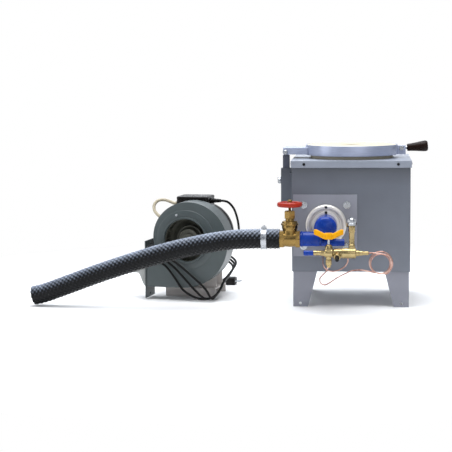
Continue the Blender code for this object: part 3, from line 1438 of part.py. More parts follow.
def make_riser(root):
    bottom = GAS_Z + MAGNET_RADIUS / 2 + CLEARANCE
    height = RISER_TOP - bottom
    collar = RISER_RADIUS * 0.8
    profile = [
        (0, RISER_BORE_RADIUS),
        (0, RISER_RADIUS),
        (height * 0.45, RISER_RADIUS),
        (height * 0.48, collar),
        (height * 0.56, collar),
        (height * 0.59, RISER_RADIUS),
        (height, RISER_RADIUS),
        (height, RISER_BORE_RADIUS),
    ]
    riser = turned(profile, (RISER_X, GAS_Y, bottom), UP, SMALL_STEPS, ring=True)
    piece("gas_riser", riser, "brass", root)
    base = (RISER_X, GAS_Y, RISER_TOP + CLEARANCE)
    elbow = rod(ELBOW_RADIUS, base, (RISER_X, GAS_Y, ELBOW_TOP), HEX_STEPS)
    elbow = piece("riser_elbow", elbow, "zinc", root)
    arm_end = (RISER_X, GAS_Y + ELBOW_RADIUS * 1.5, JET_Z)
    fuse(elbow, rod(ELBOW_RADIUS * 0.8, (RISER_X, GAS_Y, JET_Z), arm_end))
    socket = JET_RADIUS + 2 * CLEARANCE
    reach = ELBOW_RADIUS * 2
    cut(elbow, rod(socket, (RISER_X, GAS_Y + ELBOW_RADIUS / 2, JET_Z), (RISER_X, GAS_Y + reach, JET_Z)))
    straight = 2 * JET_RADIUS
    line = square_ends(smooth_line(jet_route(), COPPER_STEP), BACK * straight, -RIGHT * straight)
    tube("jet_pipe", line, JET_RADIUS, "brass", root, 2)


def jet_route():
    """From the elbow back to the side of the burner flange, where it meets the rim squarely."""
    start_y = GAS_Y + ELBOW_RADIUS / 2 + CLEARANCE + 2 * JET_RADIUS
    flange_y = PLATE_FRONT - FLANGE_DEPTH / 2
    rim_x = BURNER_X + FLANGE_RADIUS + CLEARANCE
    bend = ELBOW_RADIUS * 2
    return [
        (RISER_X, start_y, JET_Z),
        (RISER_X, start_y + bend / 2, JET_Z),
        (RISER_X + bend * 0.2, flange_y - bend * 2.0, JET_Z - bend * 0.3),
        (RISER_X + bend * 0.35, flange_y - bend * 0.9, JET_Z - bend * 0.75),
        (RISER_X + bend * 0.1, flange_y - bend * 0.12, BURNER_Z),
        (rim_x + bend * 0.55, flange_y - bend * 0.03, BURNER_Z),
        (rim_x + 2 * JET_RADIUS, flange_y, BURNER_Z),
    ]


def loop_line():
    """Two open loops of spare lead, each a little smaller and set behind the one before."""
    points = []
    total = LOOP_TURNS * LOOP_POINTS + LOOP_POINTS // 2
    for i in range(3, total - 1):
        turns = i / LOOP_POINTS
        angle = math.pi / 2 - PI_TURN * turns
        radius = LOOP_RADIUS - LOOP_SHRINK * (turns if turns < LOOP_TURNS / 2 else LOOP_TURNS - turns)
        x = LOOP_X + radius * math.cos(angle)
        z = LOOP_Z + radius * math.sin(angle)
        points.append((x, GAS_Y + LOOP_SHIFT * turns, z))
    return points


def make_copper(root):
    route = [*from_face(LEAD_START), *loop_line(), *from_face(LEAD_END)]
    line = smooth_line(route, COPPER_STEP)
    tube("thermocouple_lead", line, COPPER_RADIUS, "copper", root, 1)
    report_clear("thermocouple lead", line, 2 * COPPER_RADIUS)
    line = smooth_line(from_face(PILOT_ROUTE), COPPER_STEP)
    tube("pilot_tube", line, COPPER_RADIUS, "copper", root, 1)
    print(f"pilot tube length {line_length(line):.3f} m")


def report_clear(name, line, thickness):
    """Print a winding's length and its least gap to itself."""
    length = line_length(line)
    step = length / (len(line) - 1)
    apart = max(3, math.ceil(3 * thickness / step))
    least = math.inf
    for i in range(len(line) - apart - 1):
        far = np.linalg.norm(line[i + apart :] - line[i], axis=1)
        least = min(least, float(far.min()))
    print(f"{name} length {length:.3f} m, least gap to itself {(least - thickness) * 1000:.2f} mm")


# Blower


def scroll_outline(inset, outlet_reach):
    """The scroll's outline in its own frame, drawn in by a wall's thickness."""
    points = []
    for i in range(SCROLL_POINTS + 1):
        degrees = SCROLL_START_DEG + (SCROLL_END_DEG - SCROLL_START_DEG) * i / SCROLL_POINTS
        angle = math.radians(degrees)
        radius = scroll_radius(degrees) - inset
        points.append((radius * math.cos(angle), SHAFT_HEIGHT + radius * math.sin(angle)))
    tongue = SHAFT_HEIGHT + SCROLL_START_RADIUS * math.sin(math.radians(SCROLL_START_DEG)) - inset
    points[0] = (points[0][0], tongue)
    floor = SHAFT_HEIGHT - SCROLL_END_RADIUS + inset
    points.append((outlet_reach, floor))
    points.append((outlet_reach, tongue))
    return points


def scroll_prism(inset, outlet_reach, front, back):
    outline = [(u, front, height) for u, height in scroll_outline(inset, outlet_reach)]
    return prism(outline, BACK * (back - front))


def make_blower(root, fan):
    front_sheet = SCROLL_SHEET
    body_front = front_sheet + CLEARANCE
    shell = scroll_prism(0, OUTLET_U, body_front, SCROLL_DEPTH)
    housing = piece("scroll_housing", shell, "blower_paint", root)
    margin = (OUTLET_FLANGE_DEPTH - SCROLL_DEPTH) / 2
    flange_low = (OUTLET_U - OUTLET_FLANGE_SHEET, body_front - margin, OUTLET_FLANGE_BOTTOM)
    flange_high = (OUTLET_U, SCROLL_DEPTH + margin, OUTLET_FLANGE_TOP)
    fuse(housing, block(flange_low, flange_high).shifted((CLEARANCE, 0, 0)))
    reach = OUTLET_U - OUTLET_FLANGE_SHEET - CUT_OVERRUN
    cut(housing, scroll_prism(SCROLL_SHEET, reach, body_front - CUT_OVERRUN, SCROLL_DEPTH - SCROLL_SHEET))
    shaft_hole = SHAFT_RADIUS * 2
    low = (0, SCROLL_DEPTH - SCROLL_SHEET - CUT_OVERRUN, SHAFT_HEIGHT)
    cut(housing, rod(shaft_hole, low, (0, SCROLL_DEPTH + CUT_OVERRUN, SHAFT_HEIGHT)))
    ears = []
    edge = OUTLET_HOLE_RADIUS * 2.5
    for height in (OUTLET_FLANGE_BOTTOM + edge, OUTLET_FLANGE_TOP - edge):
        ear = (OUTLET_U - OUTLET_FLANGE_SHEET, SCROLL_DEPTH / 2, height)
        ears.append(hole(ear, RIGHT, OUTLET_FLANGE_SHEET, OUTLET_HOLE_RADIUS))
    cut(housing, together(ears))
    make_blower_front(root, front_sheet)
    make_fan(fan)
    make_motor(root)
    make_base(root)
    make_adapter(root)
    make_motor_lead(root)
    make_power_cord(root)


def make_blower_front(root, sheet):
    front = scroll_prism(0, OUTLET_U + 2 * CLEARANCE, 0, sheet)
    front = piece("scroll_front", front, "blower_paint", root)
    centre = (0, 0, SHAFT_HEIGHT)
    inner = INLET_RADIUS
    lip = [
        (sheet / 2, inner),
        (sheet / 2, INLET_LIP_RADIUS),
        (-INLET_LIP_STAND * 0.7, INLET_LIP_RADIUS),
        (-INLET_LIP_STAND, INLET_LIP_RADIUS - INLET_LIP_THICKNESS),
        (-INLET_LIP_STAND * 0.8, INLET_LIP_RADIUS - 2 * INLET_LIP_THICKNESS),
        (-INLET_LIP_STAND * 0.2, inner),
    ]
    fuse(front, turned(lip, centre, BACK, ROUND_STEPS, ring=True))
    eye_front = (0, -INLET_LIP_STAND - CUT_OVERRUN, SHAFT_HEIGHT)
    cut(front, rod(inner, eye_front, (0, CUT_OVERRUN, SHAFT_HEIGHT), ROUND_STEPS))


def make_fan(fan):
    """The squirrel-cage wheel with its hub and shaft."""
    hub = [
        (FAN_BACK - FAN_PLATE, FAN_RADIUS),
        (FAN_BACK, FAN_RADIUS),
        (FAN_BACK, SHAFT_RADIUS),
        (SHAFT_REACH, SHAFT_RADIUS),
        (SHAFT_REACH, 0),
    ]
    nose = [
        (SHAFT_NOSE, 0),
        (SHAFT_NOSE, SHAFT_RADIUS),
        (FAN_HUB_FRONT, SHAFT_RADIUS),
        (FAN_HUB_FRONT, FAN_HUB_RADIUS * 0.8),
        (FAN_HUB_FRONT + FAN_PLATE * 2, FAN_HUB_RADIUS),
        (FAN_BACK - FAN_PLATE * 4, FAN_HUB_RADIUS * 1.25),
        (FAN_BACK - FAN_PLATE, FAN_HUB_RADIUS * 1.8),
    ]
    wheel = piece("fan_wheel", turned(nose + hub, (0, 0, SHAFT_HEIGHT), BACK), "black_steel", fan)
    inner = FAN_RADIUS - FAN_RING_WIDTH
    ring_back = FAN_FRONT + FAN_PLATE
    ring = [(FAN_FRONT, inner), (FAN_FRONT, FAN_RADIUS), (ring_back, FAN_RADIUS), (ring_back, inner)]
    blades = []
    for i in range(FAN_BLADES):
        angle = PI_TURN * i / FAN_BLADES
        blade = block(
            (inner + FAN_PLATE, FAN_FRONT + FAN_PLATE / 2, -FAN_BLADE_THICKNESS / 2),
            (FAN_RADIUS - FAN_PLATE, FAN_BACK - FAN_PLATE / 2, FAN_BLADE_THICKNESS / 2),
        )
        lean = Matrix.Translation((FAN_RADIUS, 0, 0)) @ Matrix.Rotation(math.radians(-25), 4, "Y")
        lean = lean @ Matrix.Translation((-FAN_RADIUS, 0, 0))
        spin = Matrix.Translation((0, 0, SHAFT_HEIGHT)) @ Matrix.Rotation(angle, 4, "Y")
        blades.append(blade.moved(spin @ lean))
    fuse(wheel, turned(ring, (0, 0, SHAFT_HEIGHT), BACK, ROUND_STEPS, ring=True))
    fuse(wheel, together(blades))


def make_motor(root):
    front = SCROLL_DEPTH + CLEARANCE
    back = front + MOTOR_LENGTH
    bore = SHAFT_RADIUS + CLEARANCE
    profile = [
        (SHAFT_REACH + CLEARANCE, 0),
        (SHAFT_REACH + CLEARANCE, bore),
        (front, bore),
        (front, MOTOR_BELL_RADIUS * 0.9),
        (front + MOTOR_BELL * 0.4, MOTOR_BELL_RADIUS),
        (front + MOTOR_BELL, MOTOR_RADIUS),
        (back - MOTOR_BELL, MOTOR_RADIUS),
        (back - MOTOR_BELL * 0.4, MOTOR_BELL_RADIUS),
        (back, MOTOR_BELL_RADIUS * 0.8),
        (back, 0),
    ]
    piece("motor", turned(profile, (0, 0, SHAFT_HEIGHT), BACK, BIG_STEPS), "motor_paint", root)
    motor_top = SHAFT_HEIGHT + MOTOR_RADIUS
    low = (BOX_LEFT, BOX_FRONT, motor_top - BOX_SINK)
    box = block(low, (BOX_RIGHT, BOX_BACK, BOX_TOP))
    box = piece("motor_box", box, "motor_paint", root, smooth=False)
    reach_low = (0, front - CUT_OVERRUN, SHAFT_HEIGHT)
    cut(box, rod(MOTOR_RADIUS + CLEARANCE, reach_low, (0, back, SHAFT_HEIGHT), BIG_STEPS))


def make_base(root):
    """An inverted channel under the motor, with two saddle plates that carry it."""
    low = (BASE_LEFT, BASE_FRONT, 0)
    channel = block(low, (BASE_RIGHT, BASE_BACK, BASE_HEIGHT))
    base = piece("blower_base", channel, "base_steel", root, smooth=False)
    for at in (BASE_FRONT + SADDLE_INSET, BASE_BACK - SADDLE_INSET - SADDLE_SHEET):
        outline = [
            (BASE_LEFT + SADDLE_SHEET, at, BASE_HEIGHT - BASE_SHEET / 2),
            (BASE_RIGHT - SADDLE_SHEET, at, BASE_HEIGHT - BASE_SHEET / 2),
            (SADDLE_TOP_HALF, at, SADDLE_TOP),
            (-SADDLE_TOP_HALF, at, SADDLE_TOP),
        ]
        fuse(base, prism(outline, BACK * SADDLE_SHEET))
    inside_low = (BASE_LEFT - CUT_OVERRUN, BASE_FRONT + BASE_SHEET, -CUT_OVERRUN)
    inside_high = (BASE_RIGHT + CUT_OVERRUN, BASE_BACK - BASE_SHEET, BASE_HEIGHT - BASE_SHEET)
    cut(base, block(inside_low, inside_high))
    start = (0, BASE_FRONT, SHAFT_HEIGHT)
    cut(base, rod(MOTOR_RADIUS + CLEARANCE, start, (0, BASE_BACK, SHAFT_HEIGHT), BIG_STEPS))


def outlet_ring(u, shrink, share):
    """A ring between the outlet's rectangle and the spigot's circle; share 1 is the circle."""
    tongue = SHAFT_HEIGHT + SCROLL_START_RADIUS * math.sin(math.radians(SCROLL_START_DEG))
    floor = SHAFT_HEIGHT - SCROLL_END_RADIUS
    middle = (tongue + floor) / 2
    half_v = (SCROLL_DEPTH - SCROLL_SHEET) / 2 - shrink
    half_h = (tongue - floor) / 2 - shrink
    ring = []
    for i in range(ADAPTER_POINTS):
        angle = PI_TURN * (i + 0.5) / ADAPTER_POINTS
        c = math.cos(angle)
        s = math.sin(angle)
        reach = min(1 / max(abs(c), 1e-6), 1 / max(abs(s), 1e-6))
        square = (half_v * c * reach, half_h * s * reach)
        radius = SPIGOT_RADIUS - shrink
        v = square[0] * (1 - share) + radius * c * share
        h = square[1] * (1 - share) + radius * s * share
        ring.append((u, SCROLL_DEPTH / 2 + SCROLL_SHEET / 2 + v, middle + h))
    return ring


def make_adapter(root):
    near = OUTLET_U - OUTLET_FLANGE_SHEET
    waist = near - ADAPTER_LENGTH
    far = waist - SPIGOT_LENGTH
    wall = ADAPTER_WALL
    rings = [
        outlet_ring(near, 0, 0),
        outlet_ring(waist, 0, 1),
        outlet_ring(far, 0, 1),
        outlet_ring(far, wall, 1),
        outlet_ring(waist, wall, 1),
        outlet_ring(near, wall, 0),
    ]
    piece("outlet_adapter", lofted(rings, True), "adapter_steel", root)


def scroll_radius(degrees):
    """How far the scroll's rim stands from the shaft in a direction."""
    share = (SCROLL_START_DEG - degrees) / (SCROLL_START_DEG - SCROLL_END_DEG)
    return SCROLL_START_RADIUS + (SCROLL_END_RADIUS - SCROLL_START_RADIUS) * share


def make_motor_lead(root):
    straight = 2 * MOTOR_LEAD_RADIUS
    start = (BOX_LEFT - CLEARANCE - straight, MOTOR_LEAD_V, MOTOR_LEAD_HEIGHT)
    angle = math.radians(MOTOR_LEAD_END_DEG)
    out = Vector((math.cos(angle), 0, math.sin(angle)))
    rim_reach = scroll_radius(MOTOR_LEAD_END_DEG) + CLEARANCE
    seat = Vector((0, MOTOR_LEAD_END_V, SHAFT_HEIGHT)) + out * rim_reach
    route = [start, *MOTOR_LEAD_ROUTE, tuple(seat + out * straight)]
    line = square_ends(smooth_line(route, MOTOR_LEAD_STEP), -RIGHT * straight, -out * straight)
    tube("motor_lead", line, MOTOR_LEAD_RADIUS, "cream_sleeve", root, 2)
    print(f"motor lead length {line_length(line):.3f} m")


def cord_route():
    """In from the box, round the blower in turns that lie side by side, then out to the plug."""
    points = list(CORD_LEAD_IN)
    for turn in range(CORD_TURNS):
        for u, v, height, du, dv, dh in CORD_TURN:
            offset = CORD_PITCH * (CORD_TURNS - 1 - turn)
            points.append((u + du * offset, v + dv * offset, height + dh * offset))
    points += list(CORD_TAIL)
    return points


def make_power_cord(root):
    relief_left = BOX_RIGHT + CLEARANCE
    profile = [
        (0, 0),
        (0, RELIEF_LARGE_RADIUS),
        (RELIEF_LENGTH * 0.2, RELIEF_LARGE_RADIUS),
        (RELIEF_LENGTH * 0.25, RELIEF_LARGE_RADIUS * 0.8),
        (RELIEF_LENGTH, RELIEF_SMALL_RADIUS),
        (RELIEF_LENGTH, 0),
    ]
    place = (relief_left, RELIEF_V, RELIEF_HEIGHT)
    piece("cord_relief", turned(profile, place, RIGHT, SMALL_STEPS), "cord_rubber", root)
    start = Vector((relief_left + RELIEF_LENGTH + CLEARANCE, RELIEF_V, RELIEF_HEIGHT))
    straight = RIGHT * (2 * CORD_RADIUS)
    route = [tuple(start + straight), *cord_route()]
    line = square_ends(smooth_line(route, CORD_STEP), straight, straight)
    tube("power_cord", line, CORD_RADIUS, "cord_rubber", root, 1)
    report_clear("power cord", line, 2 * CORD_RADIUS)
    end = Vector(line[-1]) + RIGHT * CLEARANCE
    neck = [
        (0, 0),
        (0, PLUG_NECK_RADIUS * 0.75),
        (PLUG_NECK_LENGTH, PLUG_NECK_RADIUS),
        (PLUG_NECK_LENGTH + CUT_OVERRUN, PLUG_NECK_RADIUS),
        (PLUG_NECK_LENGTH + CUT_OVERRUN, 0),
    ]
    plug = piece("power_plug", turned(neck, end, RIGHT, TINY_STEPS), "cord_rubber", root)
    start = end + RIGHT * PLUG_NECK_LENGTH
    half_v = PLUG_WIDTH / 2
    half_h = min(PLUG_HEIGHT / 2, end.z)
    low = start + Vector((0, -half_v, -half_h))
    fuse(plug, block(low, start + Vector((PLUG_LENGTH, half_v, half_h))))
    for side in (-1, 1):
        pin = start + Vector((PLUG_LENGTH - CUT_OVERRUN, side * PIN_SPREAD, 0))
        fuse(plug, rod(PIN_RADIUS, pin, pin + RIGHT * (PIN_LENGTH + CUT_OVERRUN), TINY_STEPS))


def model_box(skip):
    """The lowest and highest corner of the evaluated pieces, without those named."""
    bpy.context.view_layer.update()
    graph = bpy.context.evaluated_depsgraph_get()
    corners = []
    for thing in bpy.context.scene.objects:
        if thing.type == "EMPTY" or thing.hide_render or thing.name in skip:
            continue
        done = thing.evaluated_get(graph)
        corners += [done.matrix_world @ v.co for v in done.to_mesh().vertices]
        done.to_mesh_clear()
    low = Vector([min(c[k] for c in corners) for k in range(3)])
    high = Vector([max(c[k] for c in corners) for k in range(3)])
    return low, high


def print_joints(pivots):
    bpy.context.view_layer.update()
    for pivot in pivots:
        place = pivot.matrix_world.translation
        print(f"{pivot.name} at {place.x:.5f}, {place.y:.5f}, {place.z:.5f}")


def build():
    for thing in list(bpy.data.objects):
        bpy.data.objects.remove(thing, do_unlink=True)
    root = empty("forge_root", None)
    make_casing(root)
    make_cover(root)
    make_pan(root)
    make_legs(root)
    make_refractory(root)
    post = empty("post_slide", root, (HINGE_X, 0, SLEEVE_TOP))
    lid = empty("lid_hinge", post, (HINGE_X, 0, HINGE_Z))
    make_lid(post, lid)
    clamp = empty("clamp_axis", root, (HINGE_X, 0, CLAMP_HEIGHT))
    make_sleeve(root, clamp)
    make_burner(root)
    spindle = empty("handwheel_axis", root, (VALVE_X, AIR_Y, WHEEL_Z))
    wedge = empty("wedge_slide", root, (VALVE_X, AIR_Y, AIR_Z))
    make_air_valve(root, spindle, wedge)
    make_hose(root)
    cock = empty("gas_handle_axis", root, (COCK_STEM_X, GAS_Y, HANDLE_HUB_TOP))
    button = empty("button_slide", root, (SAFETY_X, GAS_Y, GAS_Z))
    make_gas_train(root, cock, button)
    blower = empty("blower_frame", root)
    blower.location = (BLOWER_X, BLOWER_Y, 0)
    blower.rotation_euler = (0, 0, math.radians(BLOWER_TURN_DEG))
    fan = empty("fan_axis", blower, (0, 0, SHAFT_HEIGHT))
    make_blower(blower, fan)
    cords = ("air_hose", "hose_clamp", "power_cord", "power_plug", "cord_relief")
    low, high = model_box(cords)
    root.location = (-(low.x + high.x) / 2, -(low.y + high.y) / 2, -low.z)
    size = (high - low) * 1000
    print(f"size without cords {size.x:.1f} x {size.y:.1f} x {size.z:.1f} mm")
    print_joints([root, post, lid, clamp, spindle, wedge, cock, button, blower, fan])


build()
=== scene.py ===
"""Dresses the bench gas forge and its blower with their visible finish, pieces, light and camera."""

import math

import bmesh
import bpy
import numpy as np
from mathutils import Matrix, Vector


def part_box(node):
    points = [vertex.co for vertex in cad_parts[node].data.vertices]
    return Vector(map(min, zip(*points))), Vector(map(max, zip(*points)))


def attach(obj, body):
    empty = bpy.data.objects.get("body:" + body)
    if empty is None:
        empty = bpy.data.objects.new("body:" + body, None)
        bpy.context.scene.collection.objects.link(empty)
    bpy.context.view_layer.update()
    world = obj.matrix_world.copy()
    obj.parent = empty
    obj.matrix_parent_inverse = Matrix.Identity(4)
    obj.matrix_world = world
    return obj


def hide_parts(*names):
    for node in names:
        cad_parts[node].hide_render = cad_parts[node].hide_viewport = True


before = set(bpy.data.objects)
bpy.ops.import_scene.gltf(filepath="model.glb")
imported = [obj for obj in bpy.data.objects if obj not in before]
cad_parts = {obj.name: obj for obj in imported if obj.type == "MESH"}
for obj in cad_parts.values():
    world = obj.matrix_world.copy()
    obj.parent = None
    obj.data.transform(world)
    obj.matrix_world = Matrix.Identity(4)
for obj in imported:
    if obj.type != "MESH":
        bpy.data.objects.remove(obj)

bl_info = {
    "name": "Gas forge dressing",
    "version": (1, 0, 0),
    "blender": (4, 5, 0),
    "location": "3D View > Sidebar > Forge",
    "description": "Builds the visible pieces, finishes, light and camera of a bench gas forge",
    "category": "Object",
}

GAP = 0.0003
FINE = 96
ROUND = 64
SMALL = 40
UP = Vector((0, 0, 1))
RIGHT = Vector((1, 0, 0))
BACK = Vector((0, 1, 0))
TURN = 2 * math.pi


def middle_of(node):
    low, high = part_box(node)
    return (Vector(low) + Vector(high)) / 2


# The casing's middle gives where the forge's own frame stands in the model's frame
CASE = middle_of("casing")
HOME = Matrix.Translation((CASE.x, CASE.y, 0))
SHAFT_Z = 0.1815
BLOWER = HOME @ Matrix.Translation((-0.493, -0.075, 0)) @ Matrix.Rotation(math.radians(-9), 4, "Z")

AIR_Y, AIR_Z = -0.245, 0.207
VALVE_X = -0.172
GAS_Y, GAS_Z = -0.315, 0.1755
BURNER_X, BURNER_Z = -0.071, 0.240
LID_LOW, LID_HIGH = 0.4333, 0.4633
HINGE_X, HINGE_Z = -0.195, 0.4423

HOSE_ROUTE = (
    (-0.2013, -0.2450, 0.2070),
    (-0.2100, -0.2450, 0.2070),
    (-0.2400, -0.2450, 0.2070),
    (-0.2720, -0.2450, 0.2070),
    (-0.3400, -0.2425, 0.2030),
    (-0.4300, -0.2370, 0.1880),
    (-0.5300, -0.2290, 0.1640),
    (-0.6300, -0.2200, 0.1340),
    (-0.7300, -0.2100, 0.1000),
    (-0.8300, -0.1990, 0.0625),
    (-0.9000, -0.1915, 0.0370),
    (-0.9290, -0.1885, 0.0300),
)
PILOT_ROUTE = (
    (-0.0070, -0.3150, 0.1640),
    (-0.0070, -0.3150, 0.1520),
    (-0.0140, -0.3140, 0.1390),
    (-0.0280, -0.3110, 0.1290),
    (-0.0460, -0.3050, 0.1230),
    (-0.0640, -0.2940, 0.1240),
    (-0.0760, -0.2760, 0.1350),
    (-0.0780, -0.2500, 0.1500),
    (-0.0780, -0.2220, 0.1600),
    (-0.0780, -0.1950, 0.1620),
    (-0.0780, -0.1680, 0.1620),
)
LEAD_START = ((0.0490, -0.3150, 0.1755), (0.0600, -0.3150, 0.1765))
LEAD_END = (
    (0.0500, -0.2990, 0.1225),
    (0.0280, -0.2990, 0.1260),
    (0.0060, -0.2990, 0.1240),
    (-0.0160, -0.2995, 0.1150),
    (-0.0400, -0.3010, 0.1020),
    (-0.0580, -0.3030, 0.0900),
    (-0.0720, -0.3050, 0.0845),
    (-0.0830, -0.3050, 0.0900),
    (-0.0850, -0.2990, 0.1020),
    (-0.0770, -0.2900, 0.1110),
    (-0.0670, -0.2780, 0.1200),
    (-0.0620, -0.2620, 0.1360),
    (-0.0610, -0.2400, 0.1540),
    (-0.0610, -0.2120, 0.1600),
    (-0.0610, -0.1680, 0.1600),
)
MOTOR_LEAD_ROUTE = (
    (-0.0740, 0.0940, 0.2885),
    (-0.0920, 0.0880, 0.2940),
    (-0.1090, 0.0820, 0.2920),
    (-0.1190, 0.0750, 0.2800),
    (-0.1170, 0.0680, 0.2640),
    (-0.1080, 0.0640, 0.2530),
)
CORD_LEAD_IN = (
    (0.0960, 0.1360, 0.2860),
    (0.1100, 0.1480, 0.2680),
    (0.1160, 0.1650, 0.2420),
    (0.1160, 0.1900, 0.2080),
    (0.1070, 0.2220, 0.1750),
    (0.0820, 0.2440, 0.1560),
    (0.0420, 0.2500, 0.1470),
    (0.0000, 0.2480, 0.1430),
)
# One turn of the winding, then the way in which an outer turn lies beside the innermost
CORD_TURN = (
    (-0.0600, 0.2360, 0.1200, 0, 0.2, 1),
    (-0.1050, 0.2120, 0.1270, 0, 0.2, 1),
    (-0.1270, 0.1650, 0.1400, -0.3, 0, 1.1),
    (-0.1200, 0.1180, 0.1560, 0.5, 0, 1),
    (-0.1190, 0.0780, 0.1580, 0.85, 0, 0.5),
    (-0.1185, 0.0320, 0.1580, 0.97, 0, 0),
    (-0.1170, -0.0085, 0.1560, 1.13, -0.2, 0.1),
    (-0.0980, -0.0160, 0.1340, 1.9, -0.3, 0.4),
    (-0.0560, -0.0140, 0.1020, 2.1, -0.4, 0.7),
    (-0.0300, -0.0120, 0.0680, 3.0, -0.3, 0.65),
    (-0.0040, -0.0100, 0.0320, 4.0, -0.4, 0.5),
    (0.0380, -0.0050, 0.0085, 2.8, -1.0, 0.2),
    (0.0720, 0.0190, 0.0065, 1.1, -0.8, 0.6),
    (0.0840, 0.0600, 0.0180, 0.6, -0.1, 0.9),
    (0.0860, 0.1050, 0.0380, 0.5, 0, 0.9),
    (0.0930, 0.1550, 0.0560, 0.5, 0, 0.9),
    (0.0930, 0.2050, 0.0790, 0.5, 0.2, 0.9),
    (0.0560, 0.2360, 0.0970, 0, 0.5, 1),
    (0.0050, 0.2400, 0.1090, 0, 0.3, 1),
)
CORD_TAIL = (
    (-0.0560, 0.2640, 0.0900),
    (-0.0900, 0.2850, 0.0420),
    (-0.0900, 0.3150, 0.0110),
    (-0.0620, 0.3400, 0.0130),
    (-0.0250, 0.3420, 0.0130),
    (0.0000, 0.3420, 0.0130),
)


def linear(text):
    """The linear value of an sRGB colour in hex."""
    channels = [int(text[i : i + 2], 16) / 255 for i in (0, 2, 4)]
    return [c / 12.92 if c <= 0.04045 else ((c + 0.055) / 1.055) ** 2.4 for c in channels] + [1.0]


def colour_choice(label, text, words):
    """A colour that a user can change."""
    return bpy.props.FloatVectorProperty(
        name=label, description=words, default=linear(text)[:3], size=3, subtype="COLOR", min=0, max=1
    )


def length_choice(label, value, words):
    """A length in metres that a user can change."""
    return bpy.props.FloatProperty(name=label, description=words, default=value, unit="LENGTH", precision=4)


class ForgeColours(bpy.types.PropertyGroup):
    """Colours of the finishes."""

    casing: colour_choice("Casing", "6A6F79", "Grey-blue powder coat of the casing")
    plate: colour_choice("Burner plate", "83858F", "Lighter powder coat of the burner plate and the legs")
    band: colour_choice("Lid band", "A6AEC4", "Rolled steel of the lid and its arm")
    lining: colour_choice("Lining", "BFB8A4", "Ceramic fibre of the lid and the chamber")
    brass: colour_choice("Brass", "8C7242", "Brass of the valves and the gas fittings")
    blue: colour_choice("Air pipe", "06338C", "Blue enamel of the air body and its pipe")
    handwheel: colour_choice("Handwheel", "98240F", "Red paint of the air valve's handwheel")
    lever: colour_choice("Gas lever", "E09D08", "Yellow dip of the gas cock's lever")
    copper: colour_choice("Copper", "BC9488", "Copper of the small tubes")
    blower: colour_choice("Blower", "424B4C", "Grey-green paint of the blower's scroll")
    motor: colour_choice("Motor", "0E0A08", "Near black enamel of the motor")
    hose: colour_choice("Hose", "07080A", "Black rubber of the air hose")


class ForgeSizes(bpy.types.PropertyGroup):
    """Sizes of the dressing pieces."""

    sheet_bevel: length_choice("Sheet edge", 0.0007, "Rounding of the folded sheet's edges")
    casting_bevel: length_choice("Casting edge", 0.0006, "Rounding of the turned and cast pieces")
    hose_radius: length_choice("Hose radius", 0.0285, "Outside radius over the hose's ribs")
    hose_rib: length_choice("Hose rib", 0.0024, "Depth of the hose's crossing ribs")
    hose_pitch: length_choice("Hose pitch", 0.0125, "Distance between the hose's ribs")
    cord_radius: length_choice("Cord radius", 0.0035, "Radius of the power cord")
    screw_radius: length_choice("Screw head", 0.0042, "Radius of the sheet screws' heads")
    camera_lens: bpy.props.FloatProperty(
        name="Lens", description="Camera lens in millimetres", default=113.67
    )


def colours():
    return bpy.context.scene.forge_colours


def sizes():
    return bpy.context.scene.forge_sizes


# Shapes


class Shape:
    """Points and faces of closed bodies before they become a mesh."""

    def __init__(self, points=(), faces=()):
        self.points = [Vector(p) for p in points]
        self.faces = [tuple(f) for f in faces]

    def moved(self, matrix):
        return Shape([matrix @ p for p in self.points], self.faces)

    def __add__(self, other):
        start = len(self.points)
        return Shape(
            self.points + other.points, self.faces + [tuple(i + start for i in f) for f in other.faces]
        )


def block(low, high):
    xs, ys, zs = zip(low, high)
    points = [(x, y, z) for z in zs for y in ys for x in xs]
    faces = [(0, 2, 3, 1), (4, 5, 7, 6), (0, 1, 5, 4), (2, 6, 7, 3), (0, 4, 6, 2), (1, 3, 7, 5)]
    return Shape(points, faces)


def turned(profile, base=(0, 0, 0), axis=UP, steps=ROUND, ring=False, phase=0.0, lobes=None):
    """A body turned from (height, radius) pairs about an axis; lobes scales the radius round the turn."""
    points, rows = [], []
    for height, radius in profile:
        if radius == 0:
            rows.append([len(points)])
            points.append(Vector((0, 0, height)))
            continue
        rows.append(list(range(len(points), len(points) + steps)))
        for step in range(steps):
            angle = TURN * (step + phase) / steps
            size = radius * (lobes(angle) if lobes else 1)
            points.append(Vector((size * math.cos(angle), size * math.sin(angle), height)))
    faces = []
    pairs = list(zip(rows, rows[1:])) + ([(rows[-1], rows[0])] if ring else [])
    for low, high in pairs:
        for step in range(steps):
            after = (step + 1) % steps
            if len(low) == 1 and len(high) == 1:
                continue
            if len(low) == 1:
                faces.append((low[0], high[step], high[after]))
            elif len(high) == 1:
                faces.append((low[step], low[after], high[0]))
            else:
                faces.append((low[step], low[after], high[after], high[step]))
    turn = Vector(axis).to_track_quat("Z", "Y").to_matrix().to_4x4()
    return Shape(points, faces).moved(Matrix.Translation(base) @ turn)


def bar(radius, start, end, steps=SMALL, phase=0.0):
    along = Vector(end) - Vector(start)
    return turned(
        [(0, 0), (0, radius), (along.length, radius), (along.length, 0)], start, along, steps, False, phase
    )


def lofted(rings, closed):
    count = len(rings[0])
    points = [Vector(p) for ring in rings for p in ring]
    faces = []
    for r in range(len(rings) if closed else len(rings) - 1):
        low, high = r * count, ((r + 1) % len(rings)) * count
        faces += [(low + i, low + (i + 1) % count, high + (i + 1) % count, high + i) for i in range(count)]
    if not closed:
        faces += [tuple(range(count)), tuple(range(len(points) - count, len(points)))]
    return Shape(points, faces)


